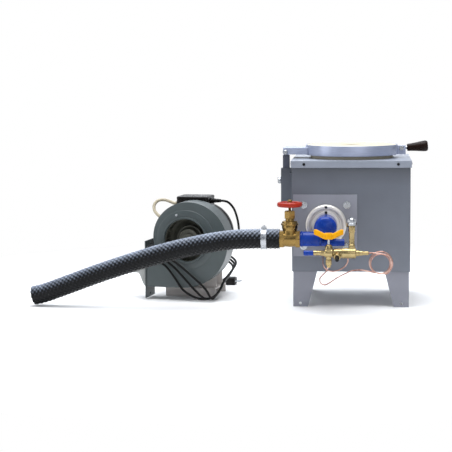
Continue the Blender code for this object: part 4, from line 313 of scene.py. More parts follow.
def eased(profile, rounding=0.0006, share=3):
    """The profile with its inner corners replaced by small curves."""
    result = [profile[0]]
    for before, here, after in zip(profile, profile[1:], profile[2:]):
        a, b, c = Vector(before), Vector(here), Vector(after)
        first, second = a - b, c - b
        reach = min(rounding, first.length * 0.45, second.length * 0.45)
        if reach < 1e-5 or b.y == 0:
            result.append(here)
            continue
        start, end = b + first.normalized() * reach, b + second.normalized() * reach
        for i in range(share + 1):
            t = i / share
            p = start * (1 - t) ** 2 + b * 2 * t * (1 - t) + end * t**2
            result.append((p.x, p.y))
    result.append(profile[-1])
    return result


def smooth_line(route, step):
    """Points a step apart along a smooth curve through a route."""
    marks = np.array(route, float)
    ends = np.vstack([2 * marks[0] - marks[1], marks, 2 * marks[-1] - marks[-2]])
    knots = np.concatenate([[0], np.cumsum(np.sqrt(np.linalg.norm(np.diff(ends, axis=0), axis=1)))])
    line = []
    for i in range(1, len(ends) - 2):
        t0, t1, t2, t3 = knots[i - 1 : i + 3]
        p0, p1, p2, p3 = ends[i - 1 : i + 3]
        for t in np.linspace(t1, t2, 16, endpoint=False):
            a1 = ((t1 - t) * p0 + (t - t0) * p1) / (t1 - t0)
            a2 = ((t2 - t) * p1 + (t - t1) * p2) / (t2 - t1)
            a3 = ((t3 - t) * p2 + (t - t2) * p3) / (t3 - t2)
            b1 = ((t2 - t) * a1 + (t - t0) * a2) / (t2 - t0)
            b2 = ((t3 - t) * a2 + (t - t1) * a3) / (t3 - t1)
            line.append(((t2 - t) * b1 + (t - t1) * b2) / (t2 - t1))
    line = np.array(line + [marks[-1]])
    along = np.concatenate([[0], np.cumsum(np.linalg.norm(np.diff(line, axis=0), axis=1))])
    at = np.linspace(0, along[-1], max(2, round(along[-1] / step) + 1))
    return np.stack([np.interp(at, along, line[:, k]) for k in range(3)], axis=1)


def moved_line(line, home):
    return [tuple(home @ Vector(p)) for p in line]


# Pieces


def show(name, mesh_or_curve, finish, body, replaced):
    thing = bpy.data.objects.new(name, mesh_or_curve)
    bpy.context.scene.collection.objects.link(thing)
    thing.data.materials.append(FINISHES[finish])
    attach(thing, body)
    if replaced:
        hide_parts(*replaced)
    return thing


def piece(
    name, shape, finish, body="forge", replaced=(), home=None, bevel=0.0, angle=35, segments=2
):
    """A finished piece at the origin, with its place in its mesh."""
    shape = shape.moved(HOME if home is None else home)
    mesh = bpy.data.meshes.new(name)
    mesh.from_pydata(shape.points, [], shape.faces)
    work = bmesh.new()
    work.from_mesh(mesh)
    bmesh.ops.recalc_face_normals(work, faces=work.faces)
    work.to_mesh(mesh)
    work.free()
    mesh.shade_smooth()
    mesh.set_sharp_from_angle(angle=math.radians(angle))
    thing = show(name, mesh, finish, body, replaced)
    if bevel:
        round_edges(thing, bevel, angle, segments)
    return thing


def round_edges(thing, width, angle=35, segments=2):
    bevel = thing.modifiers.new("edge", "BEVEL")
    bevel.width = width
    bevel.segments = segments
    bevel.limit_method = "ANGLE"
    bevel.angle_limit = math.radians(angle)
    bevel.harden_normals = True


def tube(name, line, radius, finish, body="forge", replaced=(), resolution=6):
    """A round tube along a line of points in the model's frame."""
    curve = bpy.data.curves.new(name, "CURVE")
    curve.dimensions = "3D"
    curve.bevel_depth = radius
    curve.bevel_resolution = resolution
    curve.use_fill_caps = True
    spline = curve.splines.new("POLY")
    spline.points.add(len(line) - 1)
    for point, place in zip(spline.points, line):
        point.co = (*place, 1)
    spline.use_smooth = True
    return show(name, curve, finish, body, replaced)


def dress(node, finish, bevel=0.0, angle=30):
    """A frame node keeps its shape and takes a finish, with its edges eased."""
    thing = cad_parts[node]
    if not thing.material_slots:
        thing.data.materials.append(None)
    for place in thing.material_slots:
        place.link = "OBJECT"
        place.material = FINISHES[finish]
    if bevel:
        weld = thing.modifiers.new("weld", "WELD")
        weld.merge_threshold = 0.00001
        round_edges(thing, bevel, angle)


# Repeats and the ribbed hose, by nodes


def put(tree, kind, inputs=None, **settings):
    """Add a node with its settings, values and links."""
    node = tree.nodes.new(kind)
    for key, value in settings.items():
        setattr(node, key, value)
    for key, value in (inputs or {}).items():
        socket = node.inputs[key]
        if isinstance(value, bpy.types.NodeSocket):
            tree.links.new(value, socket)
        else:
            socket.default_value = value
    return node


def copies_tree():
    """Places a copy of an object at each point, turned by the point's two directions."""
    tree = bpy.data.node_groups.new("forge_copies", "GeometryNodeTree")
    tree.interface.new_socket("Points", in_out="INPUT", socket_type="NodeSocketGeometry")
    tree.interface.new_socket("Piece", in_out="INPUT", socket_type="NodeSocketObject")
    tree.interface.new_socket("Finish", in_out="INPUT", socket_type="NodeSocketMaterial")
    tree.interface.new_socket("Mesh", in_out="OUTPUT", socket_type="NodeSocketGeometry")
    given = put(tree, "NodeGroupInput")
    info = put(tree, "GeometryNodeObjectInfo", {"Object": given.outputs["Piece"]})
    way = put(tree, "GeometryNodeInputNamedAttribute", {"Name": "way"}, data_type="FLOAT_VECTOR")
    side = put(tree, "GeometryNodeInputNamedAttribute", {"Name": "side"}, data_type="FLOAT_VECTOR")
    stood = put(tree, "FunctionNodeAlignRotationToVector", {"Vector": way.outputs[0]}, axis="Z")
    spun = put(
        tree,
        "FunctionNodeAlignRotationToVector",
        {"Rotation": stood.outputs[0], "Vector": side.outputs[0]},
        axis="X",
        pivot_axis="Z",
    )
    placed = put(
        tree,
        "GeometryNodeInstanceOnPoints",
        {
            "Points": given.outputs["Points"], "Instance": info.outputs["Geometry"],
            "Rotation": spun.outputs[0]
        },
    )
    real = put(tree, "GeometryNodeRealizeInstances", {"Geometry": placed.outputs[0]})
    coated = put(
        tree, "GeometryNodeSetMaterial", {"Geometry": real.outputs[0], "Material": given.outputs["Finish"]}
    )
    put(tree, "NodeGroupOutput", {"Mesh": coated.outputs[0]})
    return tree


def rib_tree():
    """A hose along a curve whose wall swells in crossing helical ribs."""
    tree = bpy.data.node_groups.new("forge_ribbed_hose", "GeometryNodeTree")
    tree.interface.new_socket("Path", in_out="INPUT", socket_type="NodeSocketGeometry")
    for label, value in (
        ("Radius", 0.0285), ("Rib", 0.0030), ("Pitch", 0.0125), ("Starts", 11.0), ("Step", 0.0016)
    ):
        tree.interface.new_socket(label, in_out="INPUT", socket_type="NodeSocketFloat").default_value = value
    tree.interface.new_socket("Finish", in_out="INPUT", socket_type="NodeSocketMaterial")
    tree.interface.new_socket("Mesh", in_out="OUTPUT", socket_type="NodeSocketGeometry")
    given = put(tree, "NodeGroupInput")
    fine = put(
        tree,
        "GeometryNodeResampleCurve",
        {"Curve": given.outputs["Path"], "Length": given.outputs["Step"]},
        mode="LENGTH",
    )
    along = put(tree, "GeometryNodeSplineParameter")
    marked = put(
        tree,
        "GeometryNodeStoreNamedAttribute",
        {"Geometry": fine.outputs[0], "Name": "along", "Value": along.outputs["Length"]},
    )
    ring = put(
        tree, "GeometryNodeCurvePrimitiveCircle", {"Resolution": 110, "Radius": given.outputs["Radius"]}
    )
    rounded = put(
        tree,
        "GeometryNodeStoreNamedAttribute",
        {"Geometry": ring.outputs[0], "Name": "round", "Value": along.outputs["Factor"]},
    )
    skin = put(
        tree, "GeometryNodeCurveToMesh", {"Curve": marked.outputs[0], "Profile Curve": rounded.outputs[0]}
    )
    read_along = put(tree, "GeometryNodeInputNamedAttribute", {"Name": "along"})
    read_round = put(tree, "GeometryNodeInputNamedAttribute", {"Name": "round"})
    turns = put(
        tree, "ShaderNodeMath", {0: read_along.outputs[0], 1: given.outputs["Pitch"]}, operation="DIVIDE"
    )
    spin = put(
        tree, "ShaderNodeMath", {0: read_round.outputs[0], 1: given.outputs["Starts"]}, operation="MULTIPLY"
    )
    waves = []
    for way in ("ADD", "SUBTRACT"):
        helix = put(tree, "ShaderNodeMath", {0: turns.outputs[0], 1: spin.outputs[0]}, operation=way)
        wave = put(tree, "ShaderNodeMath", {0: helix.outputs[0], 1: TURN}, operation="MULTIPLY")
        waves.append(put(tree, "ShaderNodeMath", {0: wave.outputs[0]}, operation="COSINE"))
    weak = put(tree, "ShaderNodeMath", {0: waves[1].outputs[0], 1: 0.55}, operation="MULTIPLY")
    crest = put(tree, "ShaderNodeMath", {0: waves[0].outputs[0], 1: weak.outputs[0]}, operation="ADD")
    level = put(tree, "ShaderNodeMath", {0: crest.outputs[0], 1: 1.55}, operation="DIVIDE")
    drop = put(tree, "ShaderNodeMath", {0: level.outputs[0], 1: -1.0}, operation="ADD")
    depth = put(tree, "ShaderNodeMath", {0: given.outputs["Rib"], 1: 0.5}, operation="MULTIPLY")
    amount = put(tree, "ShaderNodeMath", {0: drop.outputs[0], 1: depth.outputs[0]}, operation="MULTIPLY")
    normal = put(tree, "GeometryNodeInputNormal")
    push = put(
        tree, "ShaderNodeVectorMath", {0: normal.outputs[0], "Scale": amount.outputs[0]}, operation="SCALE"
    )
    shaped = put(tree, "GeometryNodeSetPosition", {"Geometry": skin.outputs[0], "Offset": push.outputs[0]})
    smooth = put(tree, "GeometryNodeSetShadeSmooth", {"Geometry": shaped.outputs[0]})
    coated = put(
        tree, "GeometryNodeSetMaterial", {"Geometry": smooth.outputs[0], "Material": given.outputs["Finish"]}
    )
    real = put(tree, "GeometryNodeRealizeInstances", {"Geometry": coated.outputs[0]})
    put(tree, "NodeGroupOutput", {"Mesh": real.outputs[0]})
    return tree


def grown(name, source, tree, values):
    """The plain mesh that a node tree makes from an object, which is then removed."""
    modifier = source.modifiers.new("nodes", "NODES")
    modifier.node_group = tree
    for item in tree.interface.items_tree:
        if item.item_type == "SOCKET" and item.in_out == "INPUT" and item.name in values:
            modifier[item.identifier] = values[item.name]
    graph = bpy.context.evaluated_depsgraph_get()
    mesh = bpy.data.meshes.new_from_object(source.evaluated_get(graph), depsgraph=graph)
    mesh.name = name
    source.modifiers.remove(modifier)
    bpy.data.objects.remove(source, do_unlink=True)
    return mesh


def repeated(name, shape, places, finish, body, home=None, replaced=(), extra=None):
    """Copies of a small shape at places, each with the way it stands and the way its side looks."""
    home = HOME if home is None else home
    turn = home.to_3x3()
    points = bpy.data.meshes.new(f"{name}_places")
    points.from_pydata([home @ Vector(p) for p, _, _ in places], [], [])
    for label, column in (("way", 1), ("side", 2)):
        layer = points.attributes.new(label, "FLOAT_VECTOR", "POINT")
        for item, place in zip(layer.data, places):
            item.vector = turn @ Vector(place[column])
    source = bpy.data.objects.new(f"{name}_places", points)
    mesh = bpy.data.meshes.new(f"{name}_one")
    mesh.from_pydata(shape.points, [], shape.faces)
    work = bmesh.new()
    work.from_mesh(mesh)
    bmesh.ops.recalc_face_normals(work, faces=work.faces)
    work.to_mesh(mesh)
    work.free()
    mesh.shade_smooth()
    mesh.set_sharp_from_angle(angle=math.radians(35))
    one = bpy.data.objects.new(f"{name}_one", mesh)
    for thing in (source, one):
        bpy.context.scene.collection.objects.link(thing)
    result = grown(name, source, TREES["copies"], {"Piece": one, "Finish": FINISHES[finish]})
    bpy.data.objects.remove(one, do_unlink=True)
    if extra is not None:
        result = merged(result, extra.moved(home))
    result.set_sharp_from_angle(angle=math.radians(35))
    if not result.materials:
        result.materials.append(None)
    thing = bpy.data.objects.new(name, result)
    bpy.context.scene.collection.objects.link(thing)
    thing.data.materials[0] = FINISHES[finish]
    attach(thing, body)
    if replaced:
        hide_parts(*replaced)
    return thing


def merged(mesh, shape):
    """The mesh with one more shape in it."""
    other = bpy.data.meshes.new("extra")
    other.from_pydata(shape.points, [], shape.faces)
    work = bmesh.new()
    work.from_mesh(other)
    bmesh.ops.recalc_face_normals(work, faces=work.faces)
    work.to_mesh(other)
    work.free()
    other.shade_smooth()
    work = bmesh.new()
    work.from_mesh(mesh)
    work.from_mesh(other)
    work.to_mesh(mesh)
    work.free()
    bpy.data.meshes.remove(other)
    return mesh


# Finishes

FINISHES = {}
TREES = {}


def begin(name, roughness, metallic, coat=0.0, coat_roughness=0.1, specular=0.5):
    """A material with its shader, its object coordinates and its constant settings."""
    material = bpy.data.materials.new(name)
    material.use_nodes = True
    tree = material.node_tree
    shader = tree.nodes["Principled BSDF"]
    shader.inputs["Roughness"].default_value = roughness
    shader.inputs["Metallic"].default_value = metallic
    shader.inputs["Coat Weight"].default_value = coat
    shader.inputs["Coat Roughness"].default_value = coat_roughness
    shader.inputs["Specular IOR Level"].default_value = specular
    coords = put(tree, "ShaderNodeTexCoord")
    FINISHES[name] = material
    return tree, shader, coords.outputs["Object"]


def ramp(tree, factor, stops):
    """A colour ramp of (place, colour) stops."""
    node = put(tree, "ShaderNodeValToRGB", {"Fac": factor})
    while len(node.color_ramp.elements) < len(stops):
        node.color_ramp.elements.new(0.5)
    for element, (place, colour) in zip(node.color_ramp.elements, stops):
        element.position = place
        element.color = colour
    return node.outputs["Color"]


def shade(colour, share):
    """A colour made lighter or darker."""
    return [min(1.0, c * share) for c in tuple(colour)[:3]] + [1.0]


def mottled(
    tree, shader, coords, colour, spread, size_mm, roughness_low, roughness_high, bump=0.0, grain_mm=0.6
):
    """Cloudy colour and gloss at one size in millimetres, over a finer grain."""
    cloud = put(
        tree, "ShaderNodeTexNoise", {
            "Vector": coords, "Scale": 1000 / size_mm, "Detail": 6.0, "Roughness": 0.6
        }
    )
    tint = ramp(
        tree, cloud.outputs["Fac"], ((0.3, shade(colour, 1 - spread)), (0.7, shade(colour, 1 + spread)))
    )
    tree.links.new(tint, shader.inputs["Base Color"])
    gloss = put(
        tree,
        "ShaderNodeMapRange",
        {
            "Value": cloud.outputs["Fac"], "From Min": 0.3, "From Max": 0.7, "To Min": roughness_low,
            "To Max": roughness_high
        },
    )
    tree.links.new(gloss.outputs["Result"], shader.inputs["Roughness"])
    if bump:
        grain = put(tree, "ShaderNodeTexNoise", {"Vector": coords, "Scale": 1000 / grain_mm, "Detail": 3.0})
        relief = put(
            tree, "ShaderNodeBump", {
                "Height": grain.outputs["Fac"], "Strength": bump, "Distance": grain_mm / 4000
            }
        )
        tree.links.new(relief.outputs["Normal"], shader.inputs["Normal"])
    return cloud


def coated_sheet(name, colour, roughness=0.42, spread=0.05, bump=0.35, coat=0.15, specular=0.5, top_shade=0.0):
    """Powder coat on sheet steel: a fine orange peel, faint clouds of gloss, and, if asked, painted shade that darkens
    the face towards its top.
    """
    tree, shader, coords = begin(name, roughness, 0.0, coat, 0.35, specular)
    mottled(tree, shader, coords, colour, spread, 70, roughness - 0.05, roughness + 0.06, bump, 1.6)
    # Painted shade: the colour darkens from the bottom towards the top, standing in for the shade under the cover
    if top_shade:
        height = put(tree, "ShaderNodeSeparateXYZ", {"Vector": coords})
        shade_height = put(
            tree, "ShaderNodeMapRange", {"Value": height.outputs["Z"], "From Min": 0.12, "From Max": 0.41}
        )
        clean = shader.inputs["Base Color"].links[0].from_socket
        left = (top_shade, top_shade, top_shade, 1)
        stops = (
            (0.0, (1, 1, 1, 1)), (0.45, (0.86, 0.87, 0.88, 1)), (0.80, (0.72, 0.73, 0.75, 1)), (1.0, left)
        )
        painted_shade_ramp = ramp(tree, shade_height.outputs["Result"], stops)
        dark = put(
            tree, "ShaderNodeMix", {"Factor": 1.0, "A": clean, "B": painted_shade_ramp}, data_type="RGBA",
            blend_type="MULTIPLY"
        )
        tree.links.new(dark.outputs[2], shader.inputs["Base Color"])


def worked_metal(name, colour, roughness=0.3, spread=0.10, size_mm=14, bump=0.12, metallic=1.0, coat=0.0):
    """Turned or plated metal: fine tool marks and patches of handling."""
    tree, shader, coords = begin(name, roughness, metallic, coat=coat)
    mottled(tree, shader, coords, colour, spread, size_mm, roughness - 0.08, roughness + 0.10, bump, 0.7)


def enamel(name, colour, roughness=0.22, bump=0.2, coat=0.12, specular=0.2):
    """Brushed gloss enamel: deep colour under a clear skin, slightly wavy."""
    tree, shader, coords = begin(name, roughness, 0.0, coat=coat, coat_roughness=0.08, specular=specular)
    mottled(tree, shader, coords, colour, 0.10, 25, roughness, roughness + 0.08, bump, 4.0)


def fibre_lining(name, colour, scorch, scorch_share):
    """Ceramic fibre with a hardened face: chalky, dimpled, with small pits and scorched patches."""
    tree, shader, coords = begin(name, 0.95, 0.0)
    strands = put(
        tree, "ShaderNodeTexNoise", {
            "Vector": coords, "Scale": 260.0, "Detail": 8.0, "Roughness": 0.75, "Distortion": 0.6
        }
    )
    burns = put(tree, "ShaderNodeTexNoise", {"Vector": coords, "Scale": 14.0, "Detail": 4.0})
    chalk = ramp(
        tree, strands.outputs["Fac"],
        ((0.25, shade(colour, 0.86)), (0.6, shade(colour, 1.0)), (0.9, shade(colour, 1.04)))
    )
    patch = ramp(tree, burns.outputs["Fac"], ((1 - scorch_share, (0, 0, 0, 1)), (1.0, (1, 1, 1, 1))))
    mixed = put(tree, "ShaderNodeMix", {"Factor": patch, "A": chalk, "B": linear(scorch)}, data_type="RGBA")
    tree.links.new(mixed.outputs[2], shader.inputs["Base Color"])
    relief = put(
        tree, "ShaderNodeBump", {"Height": strands.outputs["Fac"], "Strength": 0.7, "Distance": 0.0012}
    )
    tree.links.new(relief.outputs["Normal"], shader.inputs["Normal"])


def hose_rubber():
    """Black rubber hose: a skin that was wrapped in tape, so it is finely crossed, with a painted bluish highlight on
    its upward faces.
    """
    tree, shader, coords = begin("hose_rubber", 0.3, 0.0, coat=0.05, coat_roughness=0.15, specular=0.15)
    cloud = mottled(tree, shader, coords, colours().hose, 0.35, 30, 0.26, 0.42)
    upper = put(tree, "ShaderNodeAttribute", attribute_name="upper")
    patchy = put(
        tree, "ShaderNodeMapRange",
        {"Value": cloud.outputs["Fac"], "From Min": 0.3, "From Max": 0.7, "To Min": 0.6}
    )
    weave = put(tree, "ShaderNodeTexVoronoi", {"Vector": coords, "Scale": 260.0})
    proud = put(
        tree, "ShaderNodeMapRange",
        {"Value": weave.outputs["Distance"], "From Max": 0.9, "To Min": 0.35, "To Max": 1.25}
    )
    specks = put(
        tree, "ShaderNodeMath", {0: proud.outputs["Result"], 1: patchy.outputs["Result"]},
        operation="MULTIPLY"
    )
    # Painted highlight: the upward faces take a pale bluish colour, speckled by the weave and the clouds
    highlight_share = put(
        tree, "ShaderNodeMath", {0: upper.outputs["Fac"], 1: specks.outputs[0]}, operation="MULTIPLY",
        use_clamp=True
    )
    bare = shader.inputs["Base Color"].links[0].from_socket
    painted_top_highlight = put(
        tree, "ShaderNodeMix", {
            "Factor": highlight_share.outputs[0], "A": bare, "B": linear("A2AEC2")
        }, data_type="RGBA"
    )
    tree.links.new(painted_top_highlight.outputs[2], shader.inputs["Base Color"])
    relief = put(
        tree, "ShaderNodeBump", {"Height": weave.outputs["Distance"], "Strength": 0.8, "Distance": 0.0012}
    )
    tree.links.new(relief.outputs["Normal"], shader.inputs["Normal"])


def stained_wood():
    """Dark stained beech: long fine grain along the grip and a satin lacquer rubbed thin with use."""
    tree, shader, coords = begin("stained_wood", 0.40, 0.0, coat=0.02, coat_roughness=0.2, specular=0.12)
    stretched = put(tree, "ShaderNodeMapping", {"Vector": coords, "Scale": (40.0, 700.0, 700.0)})
    grain = put(
        tree, "ShaderNodeTexNoise", {"Vector": stretched.outputs["Vector"], "Scale": 1.0, "Detail": 5.0}
    )
    tint = ramp(
        tree, grain.outputs["Fac"],
        ((0.3, linear("0E0603")), (0.6, linear("1E0D06")), (0.8, linear("2E160A")))
    )
    tree.links.new(tint, shader.inputs["Base Color"])
    relief = put(
        tree, "ShaderNodeBump", {"Height": grain.outputs["Fac"], "Strength": 0.3, "Distance": 0.0004}
    )
    tree.links.new(relief.outputs["Normal"], shader.inputs["Normal"])


def drawn_copper():
    """Soft drawn copper tube: bright pink in some patches, browner in others."""
    tree, shader, coords = begin("drawn_copper", 0.28, 1.0)
    cloud = put(tree, "ShaderNodeTexNoise", {"Vector": coords, "Scale": 45.0, "Detail": 5.0})
    tint = ramp(
        tree, cloud.outputs["Fac"], (
            (0.3, linear("7E5648")), (0.5, tuple(colours().copper) + (1,)), (0.75, linear("DCC0B4"))
        )
    )
    tree.links.new(tint, shader.inputs["Base Color"])
    gloss = put(tree, "ShaderNodeMapRange", {"Value": cloud.outputs["Fac"], "To Min": 0.2, "To Max": 0.42})
    tree.links.new(gloss.outputs["Result"], shader.inputs["Roughness"])


def rolled_band():
    """Rolled mild steel: streaks along the roll, a bluish temper tint and a soft sheen."""
    tree, shader, coords = begin("rolled_band", 0.36, 0.55)
    stretched = put(tree, "ShaderNodeMapping", {"Vector": coords, "Scale": (30.0, 30.0, 900.0)})
    streak = put(
        tree, "ShaderNodeTexNoise", {"Vector": stretched.outputs["Vector"], "Scale": 1.0, "Detail": 5.0}
    )
    band = colours().band
    tint = ramp(tree, streak.outputs["Fac"], ((0.3, shade(band, 0.86)), (0.7, shade(band, 1.10))))
    tree.links.new(tint, shader.inputs["Base Color"])
    gloss = put(tree, "ShaderNodeMapRange", {"Value": streak.outputs["Fac"], "To Min": 0.28, "To Max": 0.46})
    tree.links.new(gloss.outputs["Result"], shader.inputs["Roughness"])
    relief = put(
        tree, "ShaderNodeBump", {"Height": streak.outputs["Fac"], "Strength": 0.1, "Distance": 0.0003}
    )
    tree.links.new(relief.outputs["Normal"], shader.inputs["Normal"])


class ForgeFinishes(bpy.types.Operator):
    """Make the procedural finishes and the node trees"""

    bl_idname = "forge.finishes"
    bl_label = "Finishes"

    def execute(self, context):
        c = colours()
        # Case coat with painted shade that darkens it towards its top
        coated_sheet("case_coat", c.casing, top_shade=0.42)
        # Sheet of the cover: the same coat painted paler, a lit copy standing in for light from above and its
        # reflection
        coated_sheet("cover_coat", shade(c.casing, 1.65), 0.34)
        coated_sheet("plate_coat", c.plate, 0.38)
        coated_sheet("post_coat", linear("4C5060"), 0.40)
        coated_sheet("blower_coat", c.blower, 0.38, 0.10, 0.5)
        coated_sheet("base_coat", linear("D0CAC6"), 0.45, 0.08)
        rolled_band()
        fibre_lining("lid_fibre", c.lining, "B9AE9C", 0.25)
        fibre_lining("chamber_fibre", linear("E6DECB"), "8E7B62", 0.55)
        # Zinc plate on fasteners: bright, slightly blue, fine grain
        worked_metal("zinc_plate", linear("AEB1B5"), 0.28, 0.10, 8)
        # Turned and cast brass: warm, with darker handling marks
        worked_metal("turned_brass", c.brass, 0.26, 0.14, 22, 0.03)
        # Pale brass of the gas train, nearly nickel, made paler than the valve brass partly as painted light for its
        # brightly lit tops
        worked_metal("pale_lit_brass", linear("A8956A"), 0.22, 0.18, 16, 0.03)
        # Cast aluminium alloy, turned bright on the burner's flange
        worked_metal("cast_alloy", linear("DEDAD4"), 0.40, 0.08, 20, 0.1, 0.6)
        # Stainless tube with a straw temper tint
        worked_metal("heat_tinted_steel", linear("A89C8C"), 0.30, 0.15, 18)
        # Galvanised sheet: pale grey spangle
        worked_metal("galvanised", linear("8A8C8A"), 0.42, 0.12, 16, 0.15, 0.5)
        # Pressed steel of the fan, made dull by dust
        worked_metal("fan_steel", linear("6A6A60"), 0.40, 0.2, 12, 0.2, 0.5)
        # Black oxide on the small screws
        worked_metal("black_oxide", linear("1B1C1F"), 0.38, 0.25, 9, 0.2, 0.7)
        enamel("blue_enamel", c.blue)
        enamel("red_enamel", c.handwheel, 0.26)
        enamel("motor_enamel", c.motor, 0.24, coat=0.06)
        # Vinyl dip on the lever: soft gloss, thick at the edges
        enamel("vinyl_dip", c.lever, 0.34, coat=0.02, specular=0.12)
        # Moulded phenolic button
        enamel("phenolic", linear("060606"), 0.32, coat=0.02)
        # Braided cream sleeve on the motor lead
        coated_sheet("cream_sleeve", linear("B0A690"), 0.60, 0.10, 0.6)
        # Rubber flex of the power cord
        coated_sheet("cord_rubber", linear("0A0909"), 0.48, 0.2, 0.3, 0.0, 0.2)
        hose_rubber()
        stained_wood()
        drawn_copper()
        TREES["copies"] = copies_tree()
        TREES["ribs"] = rib_tree()
        return {"FINISHED"}


# Stage


class ForgeStage(bpy.types.Operator):
    """Make the camera, the floor, the backdrop and the soft studio light"""

    bl_idname = "forge.stage"
    bl_label = "Stage"

    def execute(self, context):
        scene = context.scene
        scene.view_settings.view_transform = "Standard"
        lens = bpy.data.cameras.new("photo_camera")
        lens.lens = sizes().camera_lens
        lens.sensor_width = 36
        lens.clip_end = 50
        camera = bpy.data.objects.new("photo_camera", lens)
        scene.collection.objects.link(camera)
        ahead = Vector((-0.0982, 0.9896, -0.1058)).normalized()
        over = Vector((-0.0027, 0.1061, 0.9944))
        across = ahead.cross(over).normalized()
        over = across.cross(ahead)
        turn = Matrix((across, over, -ahead)).transposed().to_4x4()
        camera.matrix_world = Matrix.Translation(HOME @ Vector((0.0456, -4.2723, 0.6737))) @ turn
        scene.camera = camera
        self.floor()
        self.lamps(scene)
        return {"FINISHED"}

    def floor(self):
        """A wide sheet that runs up behind as a backdrop; to the lens it turns plain white away from the forge."""
        rows = [(-7.0, 0.0), (2.6, 0.0)]
        rows += [
            (2.6 + 1.2 * math.sin(a), 1.2 - 1.2 * math.cos(a)) for a in np.linspace(0.1, math.pi / 2, 12)
        ]
        rows.append((3.8, 5.0))
        points = [(x, y, z) for y, z in rows for x in (-7.0, 7.0)]
        faces = [(2 * i, 2 * i + 1, 2 * i + 3, 2 * i + 2) for i in range(len(rows) - 1)]
        mesh = bpy.data.meshes.new("studio_floor")
        mesh.from_pydata(points, [], faces)
        mesh.shade_smooth()
        floor = bpy.data.objects.new("studio_floor", mesh)
        bpy.context.scene.collection.objects.link(floor)
        material = bpy.data.materials.new("studio_white")
        material.use_nodes = True
        tree = material.node_tree
        shader = tree.nodes["Principled BSDF"]
        shader.inputs["Base Color"].default_value = (0.9, 0.9, 0.9, 1)
        shader.inputs["Roughness"].default_value = 0.95
        coords = put(tree, "ShaderNodeTexCoord")
        away = put(tree, "ShaderNodeVectorMath", {0: coords.outputs["Object"]}, operation="LENGTH")
        edge = put(
            tree, "ShaderNodeMapRange", {"Value": away.outputs["Value"], "From Min": 0.7, "From Max": 1.5}
        )
        path = put(tree, "ShaderNodeLightPath")
        plain = put(
            tree, "ShaderNodeMath", {0: edge.outputs["Result"], 1: path.outputs["Is Camera Ray"]},
            operation="MULTIPLY"
        )
        glow = put(tree, "ShaderNodeEmission", {"Color": (1, 1, 1, 1), "Strength": 1.0})
        mixed = put(
            tree, "ShaderNodeMixShader", {0: plain.outputs[0], 1: shader.outputs[0], 2: glow.outputs[0]}
        )
        tree.links.new(mixed.outputs[0], tree.nodes["Material Output"].inputs["Surface"])
        mesh.materials.append(material)

    def lamps(self, scene):
        world = bpy.data.worlds.new("studio_world")
        world.use_nodes = True
        tree = world.node_tree
        coords = put(tree, "ShaderNodeTexCoord")
        height = put(tree, "ShaderNodeSeparateXYZ", {"Vector": coords.outputs["Generated"]})
        share = put(tree, "ShaderNodeMapRange", {"Value": height.outputs["Z"], "From Min": -1.0})
        stops = (
            (0.0, (0.22, 0.21, 0.20, 1)), (0.5, (0.22, 0.23, 0.25, 1)), (0.75, (0.50, 0.53, 0.60, 1)),
            (1.0, (1, 1, 1, 1))
        )
        sky = ramp(tree, share.outputs["Result"], stops)
        path = put(tree, "ShaderNodeLightPath")
        seen = put(
            tree, "ShaderNodeMix", {"Factor": path.outputs["Is Camera Ray"], "A": sky, "B": (1, 1, 1, 1)},
            data_type="RGBA"
        )
        tree.links.new(seen.outputs[2], tree.nodes["Background"].inputs["Color"])
        scene.world = world
        lamps = (
            ("key", (1.2, -3.0, 1.3), 12, 1.8, (1.0, 0.98, 0.95)),
            ("fill", (-3.0, -1.2, 0.8), 16, 1.4, (1.0, 1.0, 1.0)),
            ("top", (0.0, -0.1, 2.6), 78, 2.0, (0.96, 0.98, 1.0)),
            ("rim", (-0.4, 1.6, 2.0), 26, 1.6, (0.86, 0.92, 1.0)),
        )
        for name, place, power, size, tint in lamps:
            lamp = bpy.data.lights.new(f"{name}_lamp", "AREA")
            lamp.color = tint
            lamp.energy = power
            lamp.size = size
            thing = bpy.data.objects.new(f"{name}_lamp", lamp)
            scene.collection.objects.link(thing)
            thing.location = place
            aim = Vector((0, 0, 0.2)) - Vector(place)
            thing.rotation_euler = aim.to_track_quat("-Z", "Y").to_euler()


# Cords and small tubes


def rings_along(line, radii, steps):
    """Rings of points square to a line."""
    rings, across = [], None
    for i, place in enumerate(line):
        way = Vector(line[min(i + 1, len(line) - 1)] - line[max(i - 1, 0)]).normalized()
        across = way.cross(UP).normalized() if across is None else (
            across - way * across.dot(way)
        ).normalized()
        over = across.cross(way)
        angles = [TURN * s / steps for s in range(steps)]
        rings.append([Vector(place) + (across * math.cos(a) + over * math.sin(a)) * radii[i] for a in angles])
    return rings


